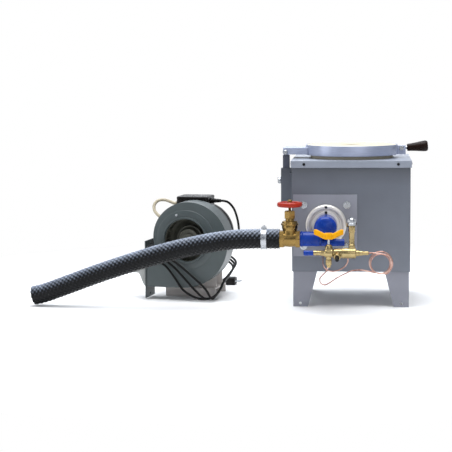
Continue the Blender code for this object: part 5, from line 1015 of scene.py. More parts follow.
class ForgeHose(bpy.types.Operator):
    """Make the ribbed air hose with its bore, its spigot and its clamp"""

    bl_idname = "forge.hose"
    bl_label = "Air hose"

    def execute(self, context):
        s = sizes()
        path = smooth_line(HOSE_ROUTE, 0.004)
        world = moved_line(path, HOME)
        curve = bpy.data.curves.new("hose_path", "CURVE")
        curve.dimensions = "3D"
        spline = curve.splines.new("POLY")
        spline.points.add(len(world) - 1)
        for point, place in zip(spline.points, world):
            point.co = (*place, 1)
        source = bpy.data.objects.new("hose_path", curve)
        context.scene.collection.objects.link(source)
        values = {
            "Radius": s.hose_radius, "Rib": s.hose_rib, "Pitch": s.hose_pitch,
            "Finish": FINISHES["hose_rubber"]
        }
        mesh = grown("ribbed_air_hose", source, TREES["ribs"], values)
        rough = s.hose_radius - s.hose_rib
        inner = 0.0225
        wide = rings_along(path, [rough] * len(path), 48)
        bore = rings_along(path, [inner] * len(path), 48)
        wall = lofted([*wide, *reversed(bore)], True)
        mesh = merged(mesh, wall.moved(HOME))
        # Upward share of each normal: the mask of the hose's painted top highlight
        facing = np.empty(3 * len(mesh.vertices))
        mesh.vertices.foreach_get("normal", facing)
        lift = np.clip((facing[2::3] - 0.15) / 0.85, 0, 1)
        mesh.attributes.new("upper", "FLOAT", "POINT").data.foreach_set("value", lift * lift)
        hose = bpy.data.objects.new("ribbed_air_hose", mesh)
        context.scene.collection.objects.link(hose)
        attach(hose, "forge")
        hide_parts("air_hose")
        self.clamp()
        return {"FINISHED"}

    def clamp(self):
        """A worm-drive band with its screw housing on top."""
        s = sizes()
        middle = -0.2010 - 0.062 * 0.72
        inner = s.hose_radius + GAP * 2
        outer = inner + 0.0012
        edge = 0.0006
        half = 0.008
        profile = [
            (-half, inner),
            (-half, outer + edge),
            (-half + 0.001, outer + edge),
            (-half + 0.0016, outer),
            (half - 0.0016, outer),
            (half - 0.001, outer + edge),
            (half, outer + edge),
            (half, inner),
        ]
        shape = turned(profile, (middle, AIR_Y, AIR_Z), RIGHT, FINE, ring=True)
        top = AIR_Z + outer
        shape += block(
            (middle - 0.0065, AIR_Y - 0.010, top - 0.002), (middle + 0.0065, AIR_Y + 0.009, top + 0.0045)
        )
        shape += bar(0.0038, (middle, AIR_Y - 0.0105, top + 0.004), (middle, AIR_Y + 0.010, top + 0.004), 24)
        shape += bar(0.0046, (middle, AIR_Y - 0.0108, top + 0.004), (middle, AIR_Y - 0.0095, top + 0.004), 6)
        piece("hose_band_clamp", shape, "zinc_plate", "forge", ("hose_clamp",), bevel=0.0003)
        profile = [(0, 0.0170), (0, 0.0200), (0.0617, 0.0200), (0.0617, 0.0170)]
        shape = turned(profile, (-0.2013, AIR_Y, AIR_Z), -RIGHT, ROUND, ring=True)
        piece("hose_spigot", shape, "turned_brass", "forge", ("hose_nipple",))


def power_route():
    points = list(CORD_LEAD_IN)
    pitch, turns = 0.0085, 3
    for turn in range(turns):
        for u, v, height, du, dv, dh in CORD_TURN:
            offset = pitch * (turns - 1 - turn)
            points.append((u + du * offset, v + dv * offset, height + dh * offset))
    return points + list(CORD_TAIL)


class ForgeCord(bpy.types.Operator):
    """Make the power cord wound about the blower, with its relief and its plug"""

    bl_idname = "forge.cord"
    bl_label = "Power cord"

    def execute(self, context):
        radius = sizes().cord_radius
        start = Vector((0.0463 + 0.030 + GAP, 0.130, 0.290))
        straight = RIGHT * (2 * radius)
        line = smooth_line([tuple(start + straight), *power_route()], 0.006)
        line = np.vstack([np.array(start), line, line[-1] + np.array(straight)])
        world = moved_line(line, BLOWER)
        cord = tube(
            "rubber_power_cord", world, radius, "cord_rubber", "forge", ("power_cord",), 4
        )
        relief = self.relief()
        plug = self.plug(Vector(line[-1]) + RIGHT * GAP)
        return {"FINISHED"}

    def relief(self):
        """A moulded relief with a flange and four grooves, tapering to the cord."""
        profile = [(0, 0), (0, 0.0085), (0.006, 0.0085), (0.0066, 0.0070)]
        for i in range(4):
            at = 0.0095 + 0.005 * i
            wide = 0.0068 - 0.0004 * i
            profile += [
                (at, wide), (at + 0.0006, wide - 0.0012), (at + 0.0020, wide - 0.0012),
                (at + 0.0026, wide - 0.0002)
            ]
        profile += [(0.0296, 0.0050), (0.030, 0.0044), (0.030, 0)]
        shape = turned(profile, (0.0463, 0.130, 0.290), RIGHT, SMALL)
        return piece(
            "moulded_cord_relief", shape, "cord_rubber", "forge", ("cord_relief",), BLOWER
        )

    def plug(self, end):
        """A moulded two-pin plug with a ribbed neck."""
        profile = [(0, 0), (0, 0.0048)]
        for i in range(4):
            at = 0.003 + 0.0042 * i
            profile += [(at, 0.0054), (at + 0.0008, 0.0044), (at + 0.0022, 0.0044), (at + 0.0028, 0.0056)]
        profile += [(0.021, 0.0064), (0.024, 0.0064), (0.024, 0)]
        shape = turned(profile, end, RIGHT, SMALL)
        start = end + RIGHT * 0.020
        rings = []
        for at, wide, tall in (
            (0, 0.55, 0.62), (0.004, 0.80, 0.82), (0.010, 0.97, 0.97), (0.036, 1, 1), (0.0385, 0.97, 0.96),
            (0.040, 0.9, 0.88)
        ):
            ring = []
            for step in range(40):
                angle = TURN * step / 40
                c, s = math.cos(angle), math.sin(angle)
                y = math.copysign(abs(c) ** 0.45, c) * 0.018 * wide
                z = math.copysign(abs(s) ** 0.45, s) * 0.0128 * tall
                ring.append(start + Vector((at, y, z)))
            rings.append(ring)
        shape += lofted(rings, False)
        plug = piece(
            "moulded_plug", shape, "cord_rubber", "forge", ("power_plug",), BLOWER
        )
        pins = Shape()
        for side in (-1, 1):
            at = start + Vector((0.0395, side * 0.0095, 0))
            pins += turned(
                [(0, 0), (0, 0.0024), (0.018, 0.0024), (0.0192, 0.0012), (0.0192, 0)], at, RIGHT, 24
            )
        metal = piece("plug_pins", pins, "zinc_plate", "forge", (), BLOWER)
        metal.parent = plug
        return plug


def loop_line():
    """Two open loops of spare lead, each a little smaller and set behind the one before."""
    points = []
    for i in range(3, 59):
        turns = i / 24
        angle = math.pi / 2 - TURN * turns
        radius = 0.032 - 0.0065 * (turns if turns < 1 else 2 - turns)
        points.append(
            (0.0835 + radius * math.cos(angle), GAS_Y + 0.0065 * turns, 0.1465 + radius * math.sin(angle))
        )
    return points


class ForgeTubes(bpy.types.Operator):
    """Make the copper tubes, the brass gas pipe and the motor's lead"""

    bl_idname = "forge.tubes"
    bl_label = "Tubes and leads"

    def execute(self, context):
        line = smooth_line([*LEAD_START, *loop_line(), *LEAD_END], 0.0022)
        tube(
            "copper_sensor_lead", moved_line(line, HOME), 0.0019, "drawn_copper", "forge",
            ("thermocouple_lead",), 4
        )
        line = smooth_line(PILOT_ROUTE, 0.0022)
        tube(
            "copper_pilot_tube", moved_line(line, HOME), 0.0019, "drawn_copper", "forge", ("pilot_tube",), 4,
        )
        line = smooth_line(jet_route(), 0.0025)
        tube(
            "bent_gas_pipe", moved_line(line, HOME), 0.0050, "turned_brass", "forge", ("jet_pipe",), 8,
        )
        radius = 0.0048
        angle = math.radians(147)
        out = Vector((math.cos(angle), 0, math.sin(angle)))
        seat = Vector((0, 0.062, SHAFT_Z)) + out * (scroll_radius(147) + GAP)
        start = Vector((-0.054 - GAP, 0.096, 0.284))
        bend = start - RIGHT * 2 * radius
        route = [tuple(start), tuple(bend), *MOTOR_LEAD_ROUTE, tuple(seat + out * 2 * radius), tuple(seat)]
        line = smooth_line(route, 0.003)
        tube(
            "sleeved_motor_lead", moved_line(line, BLOWER), radius, "cream_sleeve", "forge", ("motor_lead",),
            6
        )
        return {"FINISHED"}


def jet_route():
    rim_x = BURNER_X + 0.0585 + GAP
    flange_y = -0.1733 - 0.009
    start_y = GAS_Y + 0.006 + GAP + 0.010
    bend = 0.024
    x, z = 0.004, 0.264
    return [
        (x, start_y - 0.010, z),
        (x, start_y, z),
        (x, start_y + bend / 2, z),
        (x + bend * 0.2, flange_y - bend * 2.0, z - bend * 0.3),
        (x + bend * 0.35, flange_y - bend * 0.9, z - bend * 0.75),
        (x + bend * 0.1, flange_y - bend * 0.12, BURNER_Z),
        (rim_x + bend * 0.55, flange_y - bend * 0.03, BURNER_Z),
        (rim_x + 0.010, flange_y, BURNER_Z),
        (rim_x, flange_y, BURNER_Z),
    ]


# Casing and lid


def screw_shape(radius, height=0.0024):
    """A pan head with a cross recess."""
    profile = [
        (-0.001, 0), (-0.001, radius), (height * 0.35, radius), (height * 0.8, radius * 0.82),
        (height, radius * 0.5), (height * 1.02, 0)
    ]
    shape = turned(eased(profile, 0.0004), steps=20)
    return shape


class ForgeCasing(bpy.types.Operator):
    """Finish the casing, cover, pan, legs, burner plate and sleeve, and add their screws"""

    bl_idname = "forge.casing"
    bl_label = "Casing and legs"

    def execute(self, context):
        edge = sizes().sheet_bevel
        for node in ("casing", "floor_pan", "post_sleeve"):
            dress(node, "case_coat", edge)
        dress("top_cover", "cover_coat", edge)
        for node in ("leg_front_left", "leg_front_right", "leg_rear_left", "leg_rear_right", "burner_plate"):
            dress(node, "plate_coat", edge)
        dress("insulation", "lid_fibre")
        dress("hearth_block", "chamber_fibre", 0.001)
        dress("burner_tube", "heat_tinted_steel")
        dress("lid_arm", "rolled_band", edge)
        self.screws()
        self.lining()
        return {"FINISHED"}

    def screws(self):
        radius = sizes().screw_radius
        places = []
        half = 0.1703 + 0.0030
        for out, along in ((-BACK, RIGHT), (RIGHT, BACK), (BACK, RIGHT), (-RIGHT, BACK)):
            places += [(out * half + along * side * 0.135 + UP * 0.414, out, along) for side in (-1, 1)]
        repeated(
            "cover_sheet_screws", screw_shape(radius), places, "black_oxide", "forge"
        )
        places = []
        for x in (-1, 1):
            for y in (-1, 1):
                places.append(((x * 0.147, y * 0.147, 0.0997), -UP, RIGHT))
        head = turned(eased([(0, 0), (0, 0.0075), (0.0055, 0.0075), (0.0055, 0)], 0.0006), steps=6)
        repeated("leg_bolt_heads", head, places, "zinc_plate", "forge")

    def lining(self):
        dress("chamber_liner", "chamber_fibre")
        collar = turned(
            eased([(0.4245, 0.1208), (0.4245, 0.1222), (0.4327, 0.1222), (0.4327, 0.1208)], 0.0004),
            steps=FINE, ring=True
        )
        piece("liner_collar", collar, "lid_fibre", "forge")


class ForgeLid(bpy.types.Operator):
    """Make the lid with its band, its arm's pin, its handle and its clamp knob"""

    bl_idname = "forge.lid"
    bl_label = "Lid"

    def execute(self, context):
        r = 0.136
        profile = [
            (LID_LOW, r - 0.009),
            (LID_LOW, r),
            (LID_HIGH, r),
            (LID_HIGH, r - 0.003),
            (LID_LOW + 0.003, r - 0.003),
            (LID_LOW + 0.003, r - 0.009),
        ]
        band = turned(eased(profile, 0.0009), steps=2 * FINE, ring=True)
        band += block((r - 0.0015, -0.0025, LID_LOW), (r + 0.024, 0.0025, LID_LOW + 0.026))
        piece("rolled_lid_band", band, "rolled_band", "lid", ("lid_band",), bevel=0.0006)
        profile = [
            (LID_LOW, 0.030),
            (LID_LOW, r - 0.0093),
            (LID_LOW + 0.0033, r - 0.0093),
            (LID_LOW + 0.0033, r - 0.0033),
            (LID_HIGH - 0.0006, r - 0.0033),
            (LID_HIGH, r - 0.006),
            (LID_HIGH, 0.036),
            (LID_HIGH - 0.002, 0.0315),
            (LID_HIGH - 0.006, 0.030),
        ]
        piece(
            "lid_fibre_disc", turned(profile, steps=FINE, ring=True), "lid_fibre", "lid", ("lid_refractory",),
        )
        self.post()
        self.pin()
        self.handle()
        self.knob()
        return {"FINISHED"}

    def post(self):
        """The square post keeps its full width up to the arm, where a barrel takes the pin."""
        half, neck = 0.010, HINGE_Z - 0.0105
        shape = block((HINGE_X - half, -half, 0.290), (HINGE_X + half, half, neck))
        shape += block((HINGE_X - 0.007, -half, neck - 0.002), (HINGE_X + 0.007, half, HINGE_Z))
        shape += bar(0.0085, (HINGE_X, -0.0415, HINGE_Z), (HINGE_X, 0.0415, HINGE_Z), SMALL)
        piece(
            "square_lid_post", shape, "post_coat", "lid_post", ("lid_post",), bevel=0.0008
        )

    def pin(self):
        half = 0.0453
        shape = bar(0.005, (HINGE_X, -half - 0.003, HINGE_Z), (HINGE_X, half + 0.003, HINGE_Z), 32)
        for side in (-1, 1):
            at = (HINGE_X, side * half, HINGE_Z)
            profile = [(0, 0), (0, 0.0075), (0.0045, 0.0075), (0.006, 0.006), (0.006, 0)]
            shape += turned(profile, at, BACK * side, 6)
        piece("hinge_bolt", shape, "zinc_plate", "lid", ("hinge_pin",), bevel=0.0005)

    def handle(self):
        tilt = math.radians(5)
        way = Vector((math.cos(tilt), 0, math.sin(tilt)))
        hub = Vector((0.148, 0.0078, LID_LOW + 0.018))
        shape = bar(0.005, hub - way * 0.008, hub + way * 0.0677, 32)
        shape += bar(0.004, (hub.x, -0.0028, hub.z), (hub.x, hub.y + 0.002, hub.z), 24)
        shape += turned(
            [(0, 0), (0, 0.0075), (0.0055, 0.0075), (0.0055, 0)], (hub.x, -0.0028, hub.z), -BACK, 6
        )
        piece("lid_handle_rod", shape, "zinc_plate", "lid", ("handle_rod",), bevel=0.0004)
        marks = [
            (0, 0.0092), (0.0015, 0.0104), (0.012, 0.0114), (0.026, 0.0129), (0.040, 0.0148), (0.050, 0.0159),
            (0.0565, 0.0157), (0.0605, 0.0135), (0.0619, 0.0095)
        ]
        line = smooth_line([(a, b, 0) for a, b in marks], 0.0012)
        profile = [
            (0.004, 0), (0.004, 0.0053), (0, 0.0053)
        ] + [(a, b) for a, b, _ in line] + [(0.062, 0.005), (0.062, 0)]
        piece(
            "turned_grip", turned(profile, hub + way * 0.016, way, ROUND), "stained_wood", "lid",
            ("handle_grip",)
        )

    def knob(self):
        face = HINGE_X - 0.0158
        shape = bar(0.004, (face - 0.004, 0, 0.357), (HINGE_X - 0.0105, 0, 0.357), 32)
        swell = lambda angle: 1 - 0.14 * (1 - math.cos(5 * angle)) / 2
        profile = [
            (0, 0), (0, 0.0098), (0.0012, 0.0115), (0.0075, 0.0115), (0.0095, 0.0100), (0.010, 0.006),
            (0.010, 0)
        ]
        shape += turned(eased(profile, 0.0008), (face, 0, 0.357), -RIGHT, 80, lobes=swell)
        piece("lobed_clamp_knob", shape, "zinc_plate", "clamp", ("clamp_screw",))


# Burner and air valve


class ForgeBurner(bpy.types.Operator):
    """Make the flange, its screws, the plate's bolts and the blue air body"""

    bl_idname = "forge.burner"
    bl_label = "Burner"

    def execute(self, context):
        face = -0.1736
        profile = [
            (0, 0.0243),
            (0, 0.0585),
            (0.0145, 0.0585),
            (0.018, 0.0550),
            (0.018, 0.0485),
            (0.0125, 0.0455),
            (0.0120, 0.0420),
            (0.018, 0.0390),
            (0.018, 0.0243),
        ]
        base = (BURNER_X, face, BURNER_Z)
        shape = turned(eased(profile, 0.0008), base, -BACK, FINE, ring=True)
        piece("turned_burner_flange", shape, "cast_alloy", "forge", ("burner_flange",))
        for name, node, reach in (
            ("outer", "flange_screw_outer", 0.05275), ("inner", "flange_screw_inner", 0.0365)
        ):
            at = (BURNER_X, face - 0.0183, BURNER_Z + reach)
            profile = [
                (-0.004, 0), (-0.004, 0.003), (0, 0.003), (0, 0.0042), (0.0016, 0.0042), (0.0025, 0.0032),
                (0.0025, 0.0014), (0.0012, 0.0014), (0.0012, 0)
            ]
            shape = turned(profile, at, -BACK, 24)
            piece(
                f"flange_socket_screw_{name}", shape, "black_oxide", "forge", (node,), bevel=0.0002,
            )
        self.bolts()
        self.barrel(face)
        return {"FINISHED"}

    def bolts(self):
        front = -0.1733 - GAP
        for name, x, z in (
            ("lower_left", -0.136, 0.178),
            ("upper_left", -0.136, 0.297),
            ("lower_right", -0.012, 0.178),
            ("upper_right", -0.012, 0.297),
        ):
            at = (x, front, z)
            washer = turned(
                eased([(0, 0), (0, 0.011), (0.0015, 0.011), (0.0015, 0)], 0.0005), at, -BACK, SMALL
            )
            head = [(0.0015, 0), (0.0015, 0.0075), (0.0064, 0.0075), (0.007, 0.0066), (0.007, 0)]
            shape = washer + turned(head, at, -BACK, 6, phase=0.2)
            shape += bar(0.004, (x, front, z), (x, front + 0.0056, z), 24)
            piece(
                f"plate_bolt_head_{name}", shape, "zinc_plate", "forge", (f"plate_bolt_{name}",),
                bevel=0.0003
            )

    def barrel(self, face):
        end = face - 0.009
        front = -0.170 - 0.098
        length = end - front
        profile = [(0, 0.020), (0, 0.024), (0.0093, 0.024), (0.0093, 0.032)]
        for i in range(13):
            angle = math.pi / 2 * i / 12
            profile.append((length - 0.014 * (1 - math.sin(angle)), 0.032 - 0.014 * (1 - math.cos(angle))))
        profile += [(length + 0.0018, 0.012), (length + 0.0027, 0.005), (length + 0.0028, 0)]
        shape = turned(profile, (BURNER_X, end, BURNER_Z), -BACK, FINE)
        left = VALVE_X + 0.0293
        run_length = -0.078 - left
        run = [(0, 0.0175), (0, 0.021)]
        for i in range(12):
            angle = math.pi / 2 * i / 12
            run.append((run_length - 0.0126 * (1 - math.sin(angle)), 0.021 * math.cos(angle)))
        run.append((run_length, 0))
        shape += turned(run, (left, AIR_Y, AIR_Z), RIGHT, ROUND)
        stub = [(0, 0), (0, 0.010), (0.0800, 0.010), (0.0820, 0.008), (0.0820, 0)]
        shape += turned(eased(stub, 0.001), (-0.099, AIR_Y, AIR_Z - 0.010), RIGHT, SMALL)
        shape += turned(
            [(0, 0.0212), (0.0015, 0.0226), (0.004, 0.0226), (0.0055, 0.0212)], (left + 0.002, AIR_Y, AIR_Z),
            RIGHT, ROUND
        )
        piece("enamelled_air_body", shape, "blue_enamel", "forge", ("burner_barrel",))


class ForgeAirValve(bpy.types.Operator):
    """Make the brass gate valve, its spindle, its handwheel and its gate"""

    bl_idname = "forge.air_valve"
    bl_label = "Air valve"

    def execute(self, context):
        left = VALVE_X - 0.029
        ends = [(0, 0.0175), (0, 0.0265), (0.0125, 0.0265), (0.0125, 0.0175)]
        shape = turned(ends, (left, AIR_Y, AIR_Z), RIGHT, 6, ring=True)
        shape += turned(ends, (left + 0.058, AIR_Y, AIR_Z), -RIGHT, 6, ring=True)
        waist = [
            (0.010, 0.0175), (0.010, 0.0235), (0.016, 0.0222), (0.029, 0.0235), (0.042, 0.0222),
            (0.048, 0.0235), (0.048, 0.0175)
        ]
        shape += turned(waist, (left, AIR_Y, AIR_Z), RIGHT, ROUND, ring=True)
        neck = [
            (AIR_Z, 0.0205), (AIR_Z + 0.012, 0.0212), (0.232, 0.0200), (0.2385, 0.0225), (0.246, 0.0225),
            (0.246, 0.0190), (AIR_Z, 0.0188)
        ]
        shape += turned(eased(neck, 0.0008), (VALVE_X, AIR_Y, 0), UP, ROUND)
        piece(
            "cast_valve_body", shape, "turned_brass", "forge", ("air_valve_body",), bevel=0.0005
        )
        bonnet = [
            (0.2463, 0.0198),
            (0.2463, 0.0250),
            (0.2508, 0.0250),
            (0.2520, 0.0225),
            (0.2570, 0.0215),
            (0.2583, 0.0190),
            (0.2590, 0.0125),
            (0.2650, 0.0120),
            (0.2650, 0.0046),
            (0.2562, 0.0046),
            (0.2562, 0.0198),
        ]
        shape = turned(eased(bonnet, 0.0007), (VALVE_X, AIR_Y, 0), UP, ROUND, ring=True)
        piece("valve_bonnet_ring", shape, "turned_brass", "forge", ("air_valve_bonnet",))
        nut = [
            (0.2653, 0.0046), (0.2653, 0.0160), (0.2660, 0.0165), (0.2855, 0.0165), (0.2870, 0.0150),
            (0.2870, 0.0046)
        ]
        shape = turned(nut, (VALVE_X, AIR_Y, 0), UP, 6, ring=True, phase=0.5)
        piece("hex_packing_nut", shape, "turned_brass", "forge", ("packing_nut",), bevel=0.0005)
        dress("gate_wedge", "turned_brass", 0.0004)
        self.spindle()
        self.wheel()
        return {"FINISHED"}

    def spindle(self):
        profile = [(0.222, 0), (0.222, 0.004)]
        for i in range(9):
            at = 0.2885 + 0.0009 * i
            profile += [(at, 0.0040), (at + 0.00045, 0.0035)]
        profile += [(0.3123, 0.004), (0.3123, 0.007), (0.3170, 0.007), (0.3183, 0.0060), (0.3183, 0)]
        piece(
            "threaded_spindle", turned(profile, (VALVE_X, AIR_Y, 0), UP, 36), "turned_brass", "valve_wheel",
            ("valve_stem",)
        )

    def wheel(self):
        z, r, rim = 0.305, 0.031, 0.0055
        ring = [
            (z + 0.0068 * math.sin(TURN * i / 20), r + rim * 0.98 * math.cos(TURN * i / 20))
            for i in range(20)
        ]
        extra = turned(ring, (VALVE_X, AIR_Y, 0), UP, 120, ring=True)
        hub = [
            (z - 0.007, 0.0043), (z - 0.007, 0.0095), (z - 0.004, 0.011), (z + 0.004, 0.011),
            (z + 0.007, 0.0095), (z + 0.007, 0.0043)
        ]
        extra += turned(eased(hub, 0.0012), (VALVE_X, AIR_Y, 0), UP, ROUND, ring=True)
        rings = []
        for at, wide, tall in (
            (0.008, 0.0054, 0.0046), (0.014, 0.0044, 0.0036), (0.022, 0.0040, 0.0034), (0.031, 0.0050, 0.0044)
        ):
            rings.append(
                [(at, wide * math.cos(TURN * k / 16), tall * math.sin(TURN * k / 16)) for k in range(16)]
            )
        spoke = lofted(rings, False)
        places = []
        for i in range(5):
            angle = TURN * i / 5
            places.append(((VALVE_X, AIR_Y, z), UP, (math.cos(angle), math.sin(angle), 0)))
        repeated(
            "cast_handwheel", spoke, places, "red_enamel", "valve_wheel", replaced=("handwheel",),
            extra=extra
        )


# Gas train


class ForgeGasTrain(bpy.types.Operator):
    """Make the gas cock, its lever, the safety valve, its button and the riser"""

    bl_idname = "forge.gas_train"
    bl_label = "Gas train"

    def execute(self, context):
        def along(profile, left, steps=SMALL, phase=0.0):
            return turned(eased(profile, 0.0005), (left, GAS_Y, GAS_Z), RIGHT, steps, phase=phase)

        cap = [(0, 0), (0, 0.0060), (0.0015, 0.0072), (0.0272, 0.0072), (0.0272, 0)]
        piece(
            "inlet_dust_cap", along(cap, -0.130), "blue_enamel", "forge", ("gas_inlet_cap",),
        )
        run = [(0, 0), (0, 0.0070), (0.024, 0.0070), (0.024, 0)]
        shape = along(run, -0.1025)
        shape += turned([(0, 0), (0, 0.0085), (0.009, 0.0085), (0.009, 0)], (-0.081, GAS_Y, GAS_Z), RIGHT, 6)
        body = [(0, 0), (0, 0.0105), (0.003, 0.0125), (0.0215, 0.0125), (0.0245, 0.0110), (0.0245, 0)]
        shape += along(body, -0.072)
        stack = [
            (0.135, 0),
            (0.135, 0.0055),
            (0.1410, 0.0055),
            (0.1420, 0.0085),
            (0.1560, 0.0085),
            (0.1580, 0.0072),
            (0.1700, 0.0090),
            (0.1760, 0.0116),
            (0.1900, 0.0112),
            (0.1950, 0.0100),
            (0.1990, 0.0072),
            (0.2000, 0.0050),
            (0.2000, 0),
        ]
        shape += turned(eased(stack, 0.0008), (-0.060, GAS_Y, 0), UP, SMALL)
        piece(
            "forged_gas_cock", shape, "pale_lit_brass", "forge", ("gas_cock_body",), bevel=0.0003
        )
        self.lever()
        self.safety(along)
        self.riser()
        return {"FINISHED"}

    def lever(self):
        x = -0.060
        shape = bar(0.0035, (x, GAS_Y, 0.176), (x, GAS_Y, 0.2310), 24)
        shape += turned(
            [(0.2263, 0), (0.2263, 0.0060), (0.2300, 0.0060), (0.2308, 0.0052), (0.2308, 0)], (x, GAS_Y, 0),
            UP, 6
        )
        piece(
            "cock_spindle_nut", shape, "zinc_plate", "gas_lever", ("gas_cock_stem",), bevel=0.0003,
        )
        hub = [
            (0.214, 0.0038),
            (0.214, 0.0115),
            (0.2155, 0.0125),
            (0.2290, 0.0125),
            (0.2318, 0.0112),
            (0.2318, 0.0078),
            (0.2262, 0.0072),
            (0.2262, 0.0038),
        ]
        shape = turned(eased(hub, 0.0012), (x, GAS_Y, 0), UP, ROUND, ring=True)
        low, rise, span = 0.2168, 0.019, 0.041
        for side in (-1, 1):
            low_line = smooth_line(
                [
                    (0.009, 0, low - 0.002), (0.0125, 0, low - 0.002), (span * 0.62, 0, low + rise * 0.22),
                    (span, 0, low + rise * 0.58)
                ],
                0.003
            )
            high_line = smooth_line(
                [
                    (0.009, 0, low + rise * 0.74), (0.0125, 0, low + rise * 0.76),
                    (span * 0.55, 0, low + rise * 1.02), (span * 0.86, 0, low + rise * 1.33),
                    (span, 0, low + rise * 1.27)
                ],
                0.003
            )
            count = min(len(low_line), len(high_line))
            low_line = low_line[np.linspace(0, len(low_line) - 1, count).round().astype(int)]
            high_line = high_line[np.linspace(0, len(high_line) - 1, count).round().astype(int)]
            rings = []
            for a, b in zip(low_line, high_line):
                share = a[0] / span
                half = 0.0082 * (1 - 0.25 * share**3)
                middle, tall = (a[2] + b[2]) / 2, (b[2] - a[2]) / 2
                ring = []
                for k in range(24):
                    angle = TURN * k / 24
                    c, s = math.cos(angle), math.sin(angle)
                    dy = math.copysign(abs(c) ** 0.5, c) * half
                    dz = math.copysign(abs(s) ** 0.5, s) * tall
                    ring.append((x + side * ((a[0] + b[0]) / 2), GAS_Y + dy, middle + dz))
                rings.append(ring)
            shape += lofted(rings, False)
        piece(
            "winged_gas_lever", shape, "vinyl_dip", "gas_lever", ("gas_handle",), bevel=0.0006, angle=50,
        )

    def safety(self, along):
        left = -0.0472
        run = [
            (0, 0),
            (0, 0.0115),
            (0.002, 0.0135),
            (0.0235, 0.0135),
            (0.0245, 0.0150),
            (0.0615, 0.0150),
            (0.0632, 0.0128),
            (0.0632, 0.0085),
            (0.0710, 0.0085),
            (0.0720, 0.0070),
            (0.0812, 0.0070),
            (0.0812, 0.0054),
            (0.0970, 0.0054),
            (0.0982, 0.0042),
            (0.0982, 0),
        ]
        shape = along(run, left, ROUND)
        shape += turned(
            [(0, 0), (0, 0.0088), (0.0072, 0.0088), (0.0072, 0)], (0.0162, GAS_Y, GAS_Z), RIGHT, 6
        )
        shape += turned([(0, 0), (0, 0.0060), (0.006, 0.0060), (0.006, 0)], (0.0345, GAS_Y, GAS_Z), RIGHT, 6)
        centre = Vector((-0.0362, GAS_Y, GAS_Z))
        tilt = math.radians(30)
        way = Vector((0, -math.cos(tilt), -math.sin(tilt)))
        boss = [
            (0, 0.0066), (0, 0.0107), (0.0185, 0.0107), (0.0210, 0.0095), (0.0220, 0.0086), (0.0220, 0.0066)
        ]
        shape += turned(eased(boss, 0.0006), centre, way, SMALL, ring=True)
        piece(
            "safety_valve_casting", shape, "pale_lit_brass", "forge", ("safety_valve_body",), bevel=0.0003,
        )
        plunger = [
            (0, 0), (0, 0.006), (0.017, 0.006), (0.019, 0.0050), (0.0225, 0.0050), (0.0240, 0.0038),
            (0.0240, 0)
        ]
        piece(
            "reset_plunger", turned(eased(plunger, 0.0006), centre + way * 0.012, way, SMALL), "phenolic",
            "button", ("reset_button",)
        )

    def riser(self):
        x = 0.004
        bottom = 0.1833
        profile = [
            (bottom, 0.004),
            (bottom, 0.0095),
            (0.1990, 0.0095),
            (0.2005, 0.0078),
            (0.2330, 0.0078),
            (0.2345, 0.0095),
            (0.2480, 0.0095),
            (0.2525, 0.0090),
            (0.2525, 0.004),
        ]
        shape = turned(eased(profile, 0.0006), (x, GAS_Y, 0), UP, SMALL, ring=True)
        for i in range(6):
            at = 0.2360 + 0.0018 * i
            shape += turned(
                [(at, 0.0090), (at + 0.0006, 0.0098), (at + 0.0012, 0.0090)], (x, GAS_Y, 0), UP, SMALL,
                ring=True
            )
        piece("riser_pipe", shape, "pale_lit_brass", "forge", ("gas_riser",))
        elbow = [(0.2528, 0), (0.2528, 0.0108), (0.2536, 0.0120), (0.2585, 0.0120), (0.2600, 0.0098)]
        elbow += [
            (0.2643 + 0.0102 * math.sin(a), 0.0102 * math.cos(a))
            for a in np.linspace(0, math.pi / 2 - 0.02, 9)
        ]
        elbow.append((0.2745, 0))
        shape = turned(elbow, (x, GAS_Y, 0), UP, SMALL)
        arm = [
            (0, 0), (0, 0.0088), (0.0115, 0.0088), (0.0125, 0.0096), (0.0172, 0.0096), (0.018, 0.0088),
            (0.018, 0.0056)
        ]
        shape += turned(eased(arm, 0.0005), (x, GAS_Y, 0.264), BACK, SMALL)
        for side in (-1, 1):
            nut = turned(
                [(0, 0), (0, 0.0062), (0.0112, 0.0062), (0.0118, 0.0055), (0.0118, 0)], (x, GAS_Y, 0.2640),
                RIGHT * side, 6
            )
            shape += nut
        piece("plated_elbow", shape, "zinc_plate", "forge", ("riser_elbow",), bevel=0.0004)


# Blower


def scroll_radius(degrees):
    """How far the scroll's rim stands from the shaft in a direction."""
    return 0.097 + (0.143 - 0.097) * (198 - degrees) / 288


def scroll_outline(inset, reach, count=110):
    points = []
    for i in range(count + 1):
        degrees = 198 - 288 * i / count
        angle = math.radians(degrees)
        radius = scroll_radius(degrees) - inset
        points.append((radius * math.cos(angle), SHAFT_Z + radius * math.sin(angle)))
    tongue = SHAFT_Z + 0.097 * math.sin(math.radians(198)) - inset
    points[0] = (points[0][0], tongue)
    return points + [(reach, SHAFT_Z - 0.143 + inset), (reach, tongue)]


EYE_PROFILE = (
    (0.0905, 0.0),
    (0.0895, -0.0010),
    (0.0880, -0.0013),
    (0.0700, -0.0013),
    (0.0690, -0.0030),
    (0.0690, -0.0072),
    (0.0683, -0.0086),
    (0.0668, -0.0090),
    (0.0652, -0.0084),
    (0.0640, -0.0060),
    (0.0636, 0.0),
    (0.0636, 0.0020),
)


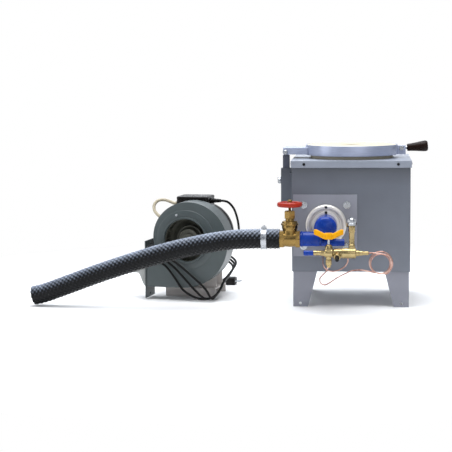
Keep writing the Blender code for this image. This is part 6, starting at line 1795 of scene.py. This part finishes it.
class ForgeBlower(bpy.types.Operator):
    """Make the scroll, its front, the fan, the motor, the wiring box and the outlet"""

    bl_idname = "forge.blower"
    bl_label = "Blower"

    def execute(self, context):
        dress("scroll_housing", "blower_coat", sizes().sheet_bevel)
        dress("blower_base", "base_coat", sizes().sheet_bevel)
        self.front()
        self.fan()
        self.motor()
        self.outlet()
        return {"FINISHED"}

    def front(self):
        """The front sheet is a ring of quads between the inlet's eye and the scroll's edge."""
        outline = scroll_outline(0, -0.1234)
        angles = [math.atan2(h - SHAFT_Z, u) for u, h in outline]
        rings = []
        for y, share in ((0.0020, 1), (0.0006, 1), (0.0, 0.997)):
            rings.append([(u * share, y, SHAFT_Z + (h - SHAFT_Z) * share) for u, h in outline])
        for radius, y in EYE_PROFILE:
            rings.append([(radius * math.cos(a), y, SHAFT_Z + radius * math.sin(a)) for a in angles])
        piece(
            "pressed_scroll_front", lofted(rings, True), "blower_coat", "forge", ("scroll_front",), BLOWER,
            angle=40
        )
        places = []
        for i in range(3):
            angle = math.radians(109.5 + 120 * i)
            places.append(
                ((0.0795 * math.cos(angle), -0.0015, SHAFT_Z + 0.0795 * math.sin(angle)), -BACK, RIGHT)
            )
        repeated(
            "scroll_front_screws", screw_shape(0.0038), places, "zinc_plate", "forge", BLOWER
        )

    def fan(self):
        profile = [
            (0.020, 0),
            (0.020, 0.0060),
            (0.030, 0.0060),
            (0.030, 0.0130),
            (0.027, 0.0142),
            (0.027, 0.0178),
            (0.034, 0.0190),
            (0.036, 0.0262),
            (0.033, 0.0278),
            (0.033, 0.0302),
            (0.044, 0.0312),
            (0.050, 0.0345),
            (0.047, 0.0370),
            (0.047, 0.0400),
            (0.058, 0.0420),
            (0.064, 0.0560),
            (0.064, 0.0760),
            (0.066, 0.0760),
            (0.066, 0.0058),
            (0.119, 0.0058),
            (0.119, 0),
        ]
        centre = (0, 0, SHAFT_Z)
        extra = turned(eased(profile, 0.0008), centre, BACK, ROUND)
        ring = [(0.012, 0.0630), (0.012, 0.0760), (0.014, 0.0760), (0.014, 0.0630)]
        extra += turned(ring, centre, BACK, FINE, ring=True)
        rings = []
        for i in range(7):
            t = i / 6
            u, w = 0.0645 + 0.0105 * t, 0.0045 * math.sin(math.pi * (t - 0.15))
            rings.append(
                [
                    (u - 0.0005, w, 0.013), (u + 0.0005, w, 0.013), (u + 0.0005, w, 0.065),
                    (u - 0.0005, w, 0.065)
                ]
            )
        blade = lofted(rings, False)
        places = []
        for i in range(36):
            angle = TURN * i / 36
            places.append((centre, BACK, (math.cos(angle), 0, math.sin(angle))))
        repeated(
            "squirrel_cage_fan", blade, places, "fan_steel", "fan", BLOWER, ("fan_wheel",),
            extra
        )

    def motor(self):
        front = 0.0783
        profile = [
            (0.1203, 0),
            (0.1203, 0.0063),
            (front, 0.0063),
            (front, 0.0790),
            (front + 0.003, 0.0860),
            (front + 0.009, 0.0945),
            (front + 0.014, 0.0982),
            (front + 0.016, 0.1000),
            (front + 0.030, 0.1000),
            (front + 0.031, 0.0985),
            (front + 0.104, 0.0985),
            (front + 0.105, 0.1000),
            (front + 0.119, 0.1000),
            (front + 0.122, 0.0980),
            (front + 0.128, 0.0930),
            (front + 0.133, 0.0830),
            (front + 0.135, 0.0700),
            (front + 0.135, 0),
        ]
        shape = turned(eased(profile, 0.0012), (0, 0, SHAFT_Z), BACK, FINE)
        piece("enamelled_motor", shape, "motor_enamel", "forge", ("motor",), BLOWER)
        rings = []
        left, right, near, far = -0.054, 0.046, 0.086, 0.176
        for z, pull in (
            (0.2600, 0), (0.2950, 0), (0.2953, 0.0008), (0.2963, 0.0008), (0.2966, 0), (0.3015, 0),
            (0.3040, 0.0012), (0.3050, 0.0035)
        ):
            ring = []
            for k in range(48):
                angle = TURN * (k + 0.5) / 48
                c, s = math.cos(angle), math.sin(angle)
                u = (left + right) / 2 + math.copysign(abs(c) ** 0.18, c) * ((right - left) / 2 - pull)
                v = (near + far) / 2 + math.copysign(abs(s) ** 0.18, s) * ((far - near) / 2 - pull)
                ring.append((u, v, z))
            rings.append(ring)
        piece(
            "wiring_box_shell", lofted(rings, False), "motor_enamel", "forge", ("motor_box",), BLOWER,
            bevel=0.0006
        )

    def outlet(self):
        steps = 64
        tongue = SHAFT_Z + 0.097 * math.sin(math.radians(198))
        floor = SHAFT_Z - 0.143
        middle = (tongue + floor) / 2

        def ring_at(u, shrink, share):
            half_v, half_h = 0.038 - shrink, (tongue - floor) / 2 - shrink
            ring = []
            for i in range(steps):
                angle = TURN * (i + 0.5) / steps
                c, s = math.cos(angle), math.sin(angle)
                reach = min(1 / max(abs(c), 1e-6), 1 / max(abs(s), 1e-6))
                radius = 0.0205 - shrink
                v = half_v * c * reach * (1 - share) + radius * c * share
                h = half_h * s * reach * (1 - share) + radius * s * share
                ring.append((u, 0.040 + v, middle + h))
            return ring

        near, waist, far = -0.127, -0.163, -0.199
        outside = [ring_at(near, 0, 0)]
        outside += [
            ring_at(near + (waist - near) * t, 0, t * t * (3 - 2 * t)) for t in np.linspace(0.08, 1, 10)
        ]
        outside += [ring_at(far + 0.004, 0, 1), ring_at(far + 0.003, -0.0008, 1), ring_at(far, -0.0008, 1)]
        inside = [ring_at(far, 0.002, 1), ring_at(waist, 0.002, 1)]
        inside += [
            ring_at(near + (waist - near) * t, 0.002, t * t * (3 - 2 * t)) for t in np.linspace(1, 0, 8)[1:]
        ]
        piece(
            "seamed_outlet_adapter", lofted(outside + inside, True), "galvanised", "forge",
            ("outlet_adapter",), BLOWER
        )


CLASSES = (
    ForgeColours,
    ForgeSizes,
    ForgeFinishes,
    ForgeStage,
    ForgeHose,
    ForgeCord,
    ForgeTubes,
    ForgeCasing,
    ForgeLid,
    ForgeBurner,
    ForgeAirValve,
    ForgeGasTrain,
    ForgeBlower,
)
ORDER = [c.bl_idname for c in CLASSES if issubclass(c, bpy.types.Operator)]


class ForgePanel(bpy.types.Panel):
    """Lists the forge's sizes, colours and pieces"""

    bl_idname = "VIEW3D_PT_forge"
    bl_label = "Gas forge"
    bl_space_type = "VIEW_3D"
    bl_region_type = "UI"
    bl_category = "Forge"

    def draw(self, context):
        for group in (context.scene.forge_sizes, context.scene.forge_colours):
            box = self.layout.box()
            for key in group.__annotations__:
                box.prop(group, key)
        for name in ORDER:
            self.layout.operator(name)


def register():
    for item in (*CLASSES, ForgePanel):
        bpy.utils.register_class(item)
    bpy.types.Scene.forge_colours = bpy.props.PointerProperty(type=ForgeColours)
    bpy.types.Scene.forge_sizes = bpy.props.PointerProperty(type=ForgeSizes)


def unregister():
    del bpy.types.Scene.forge_sizes
    del bpy.types.Scene.forge_colours
    for item in reversed((*CLASSES, ForgePanel)):
        bpy.utils.unregister_class(item)


def main():
    register()
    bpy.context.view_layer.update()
    for name in ORDER:
        group, step = name.split(".")
        getattr(getattr(bpy.ops, group), step)()


if __name__ == "__main__":
    main()
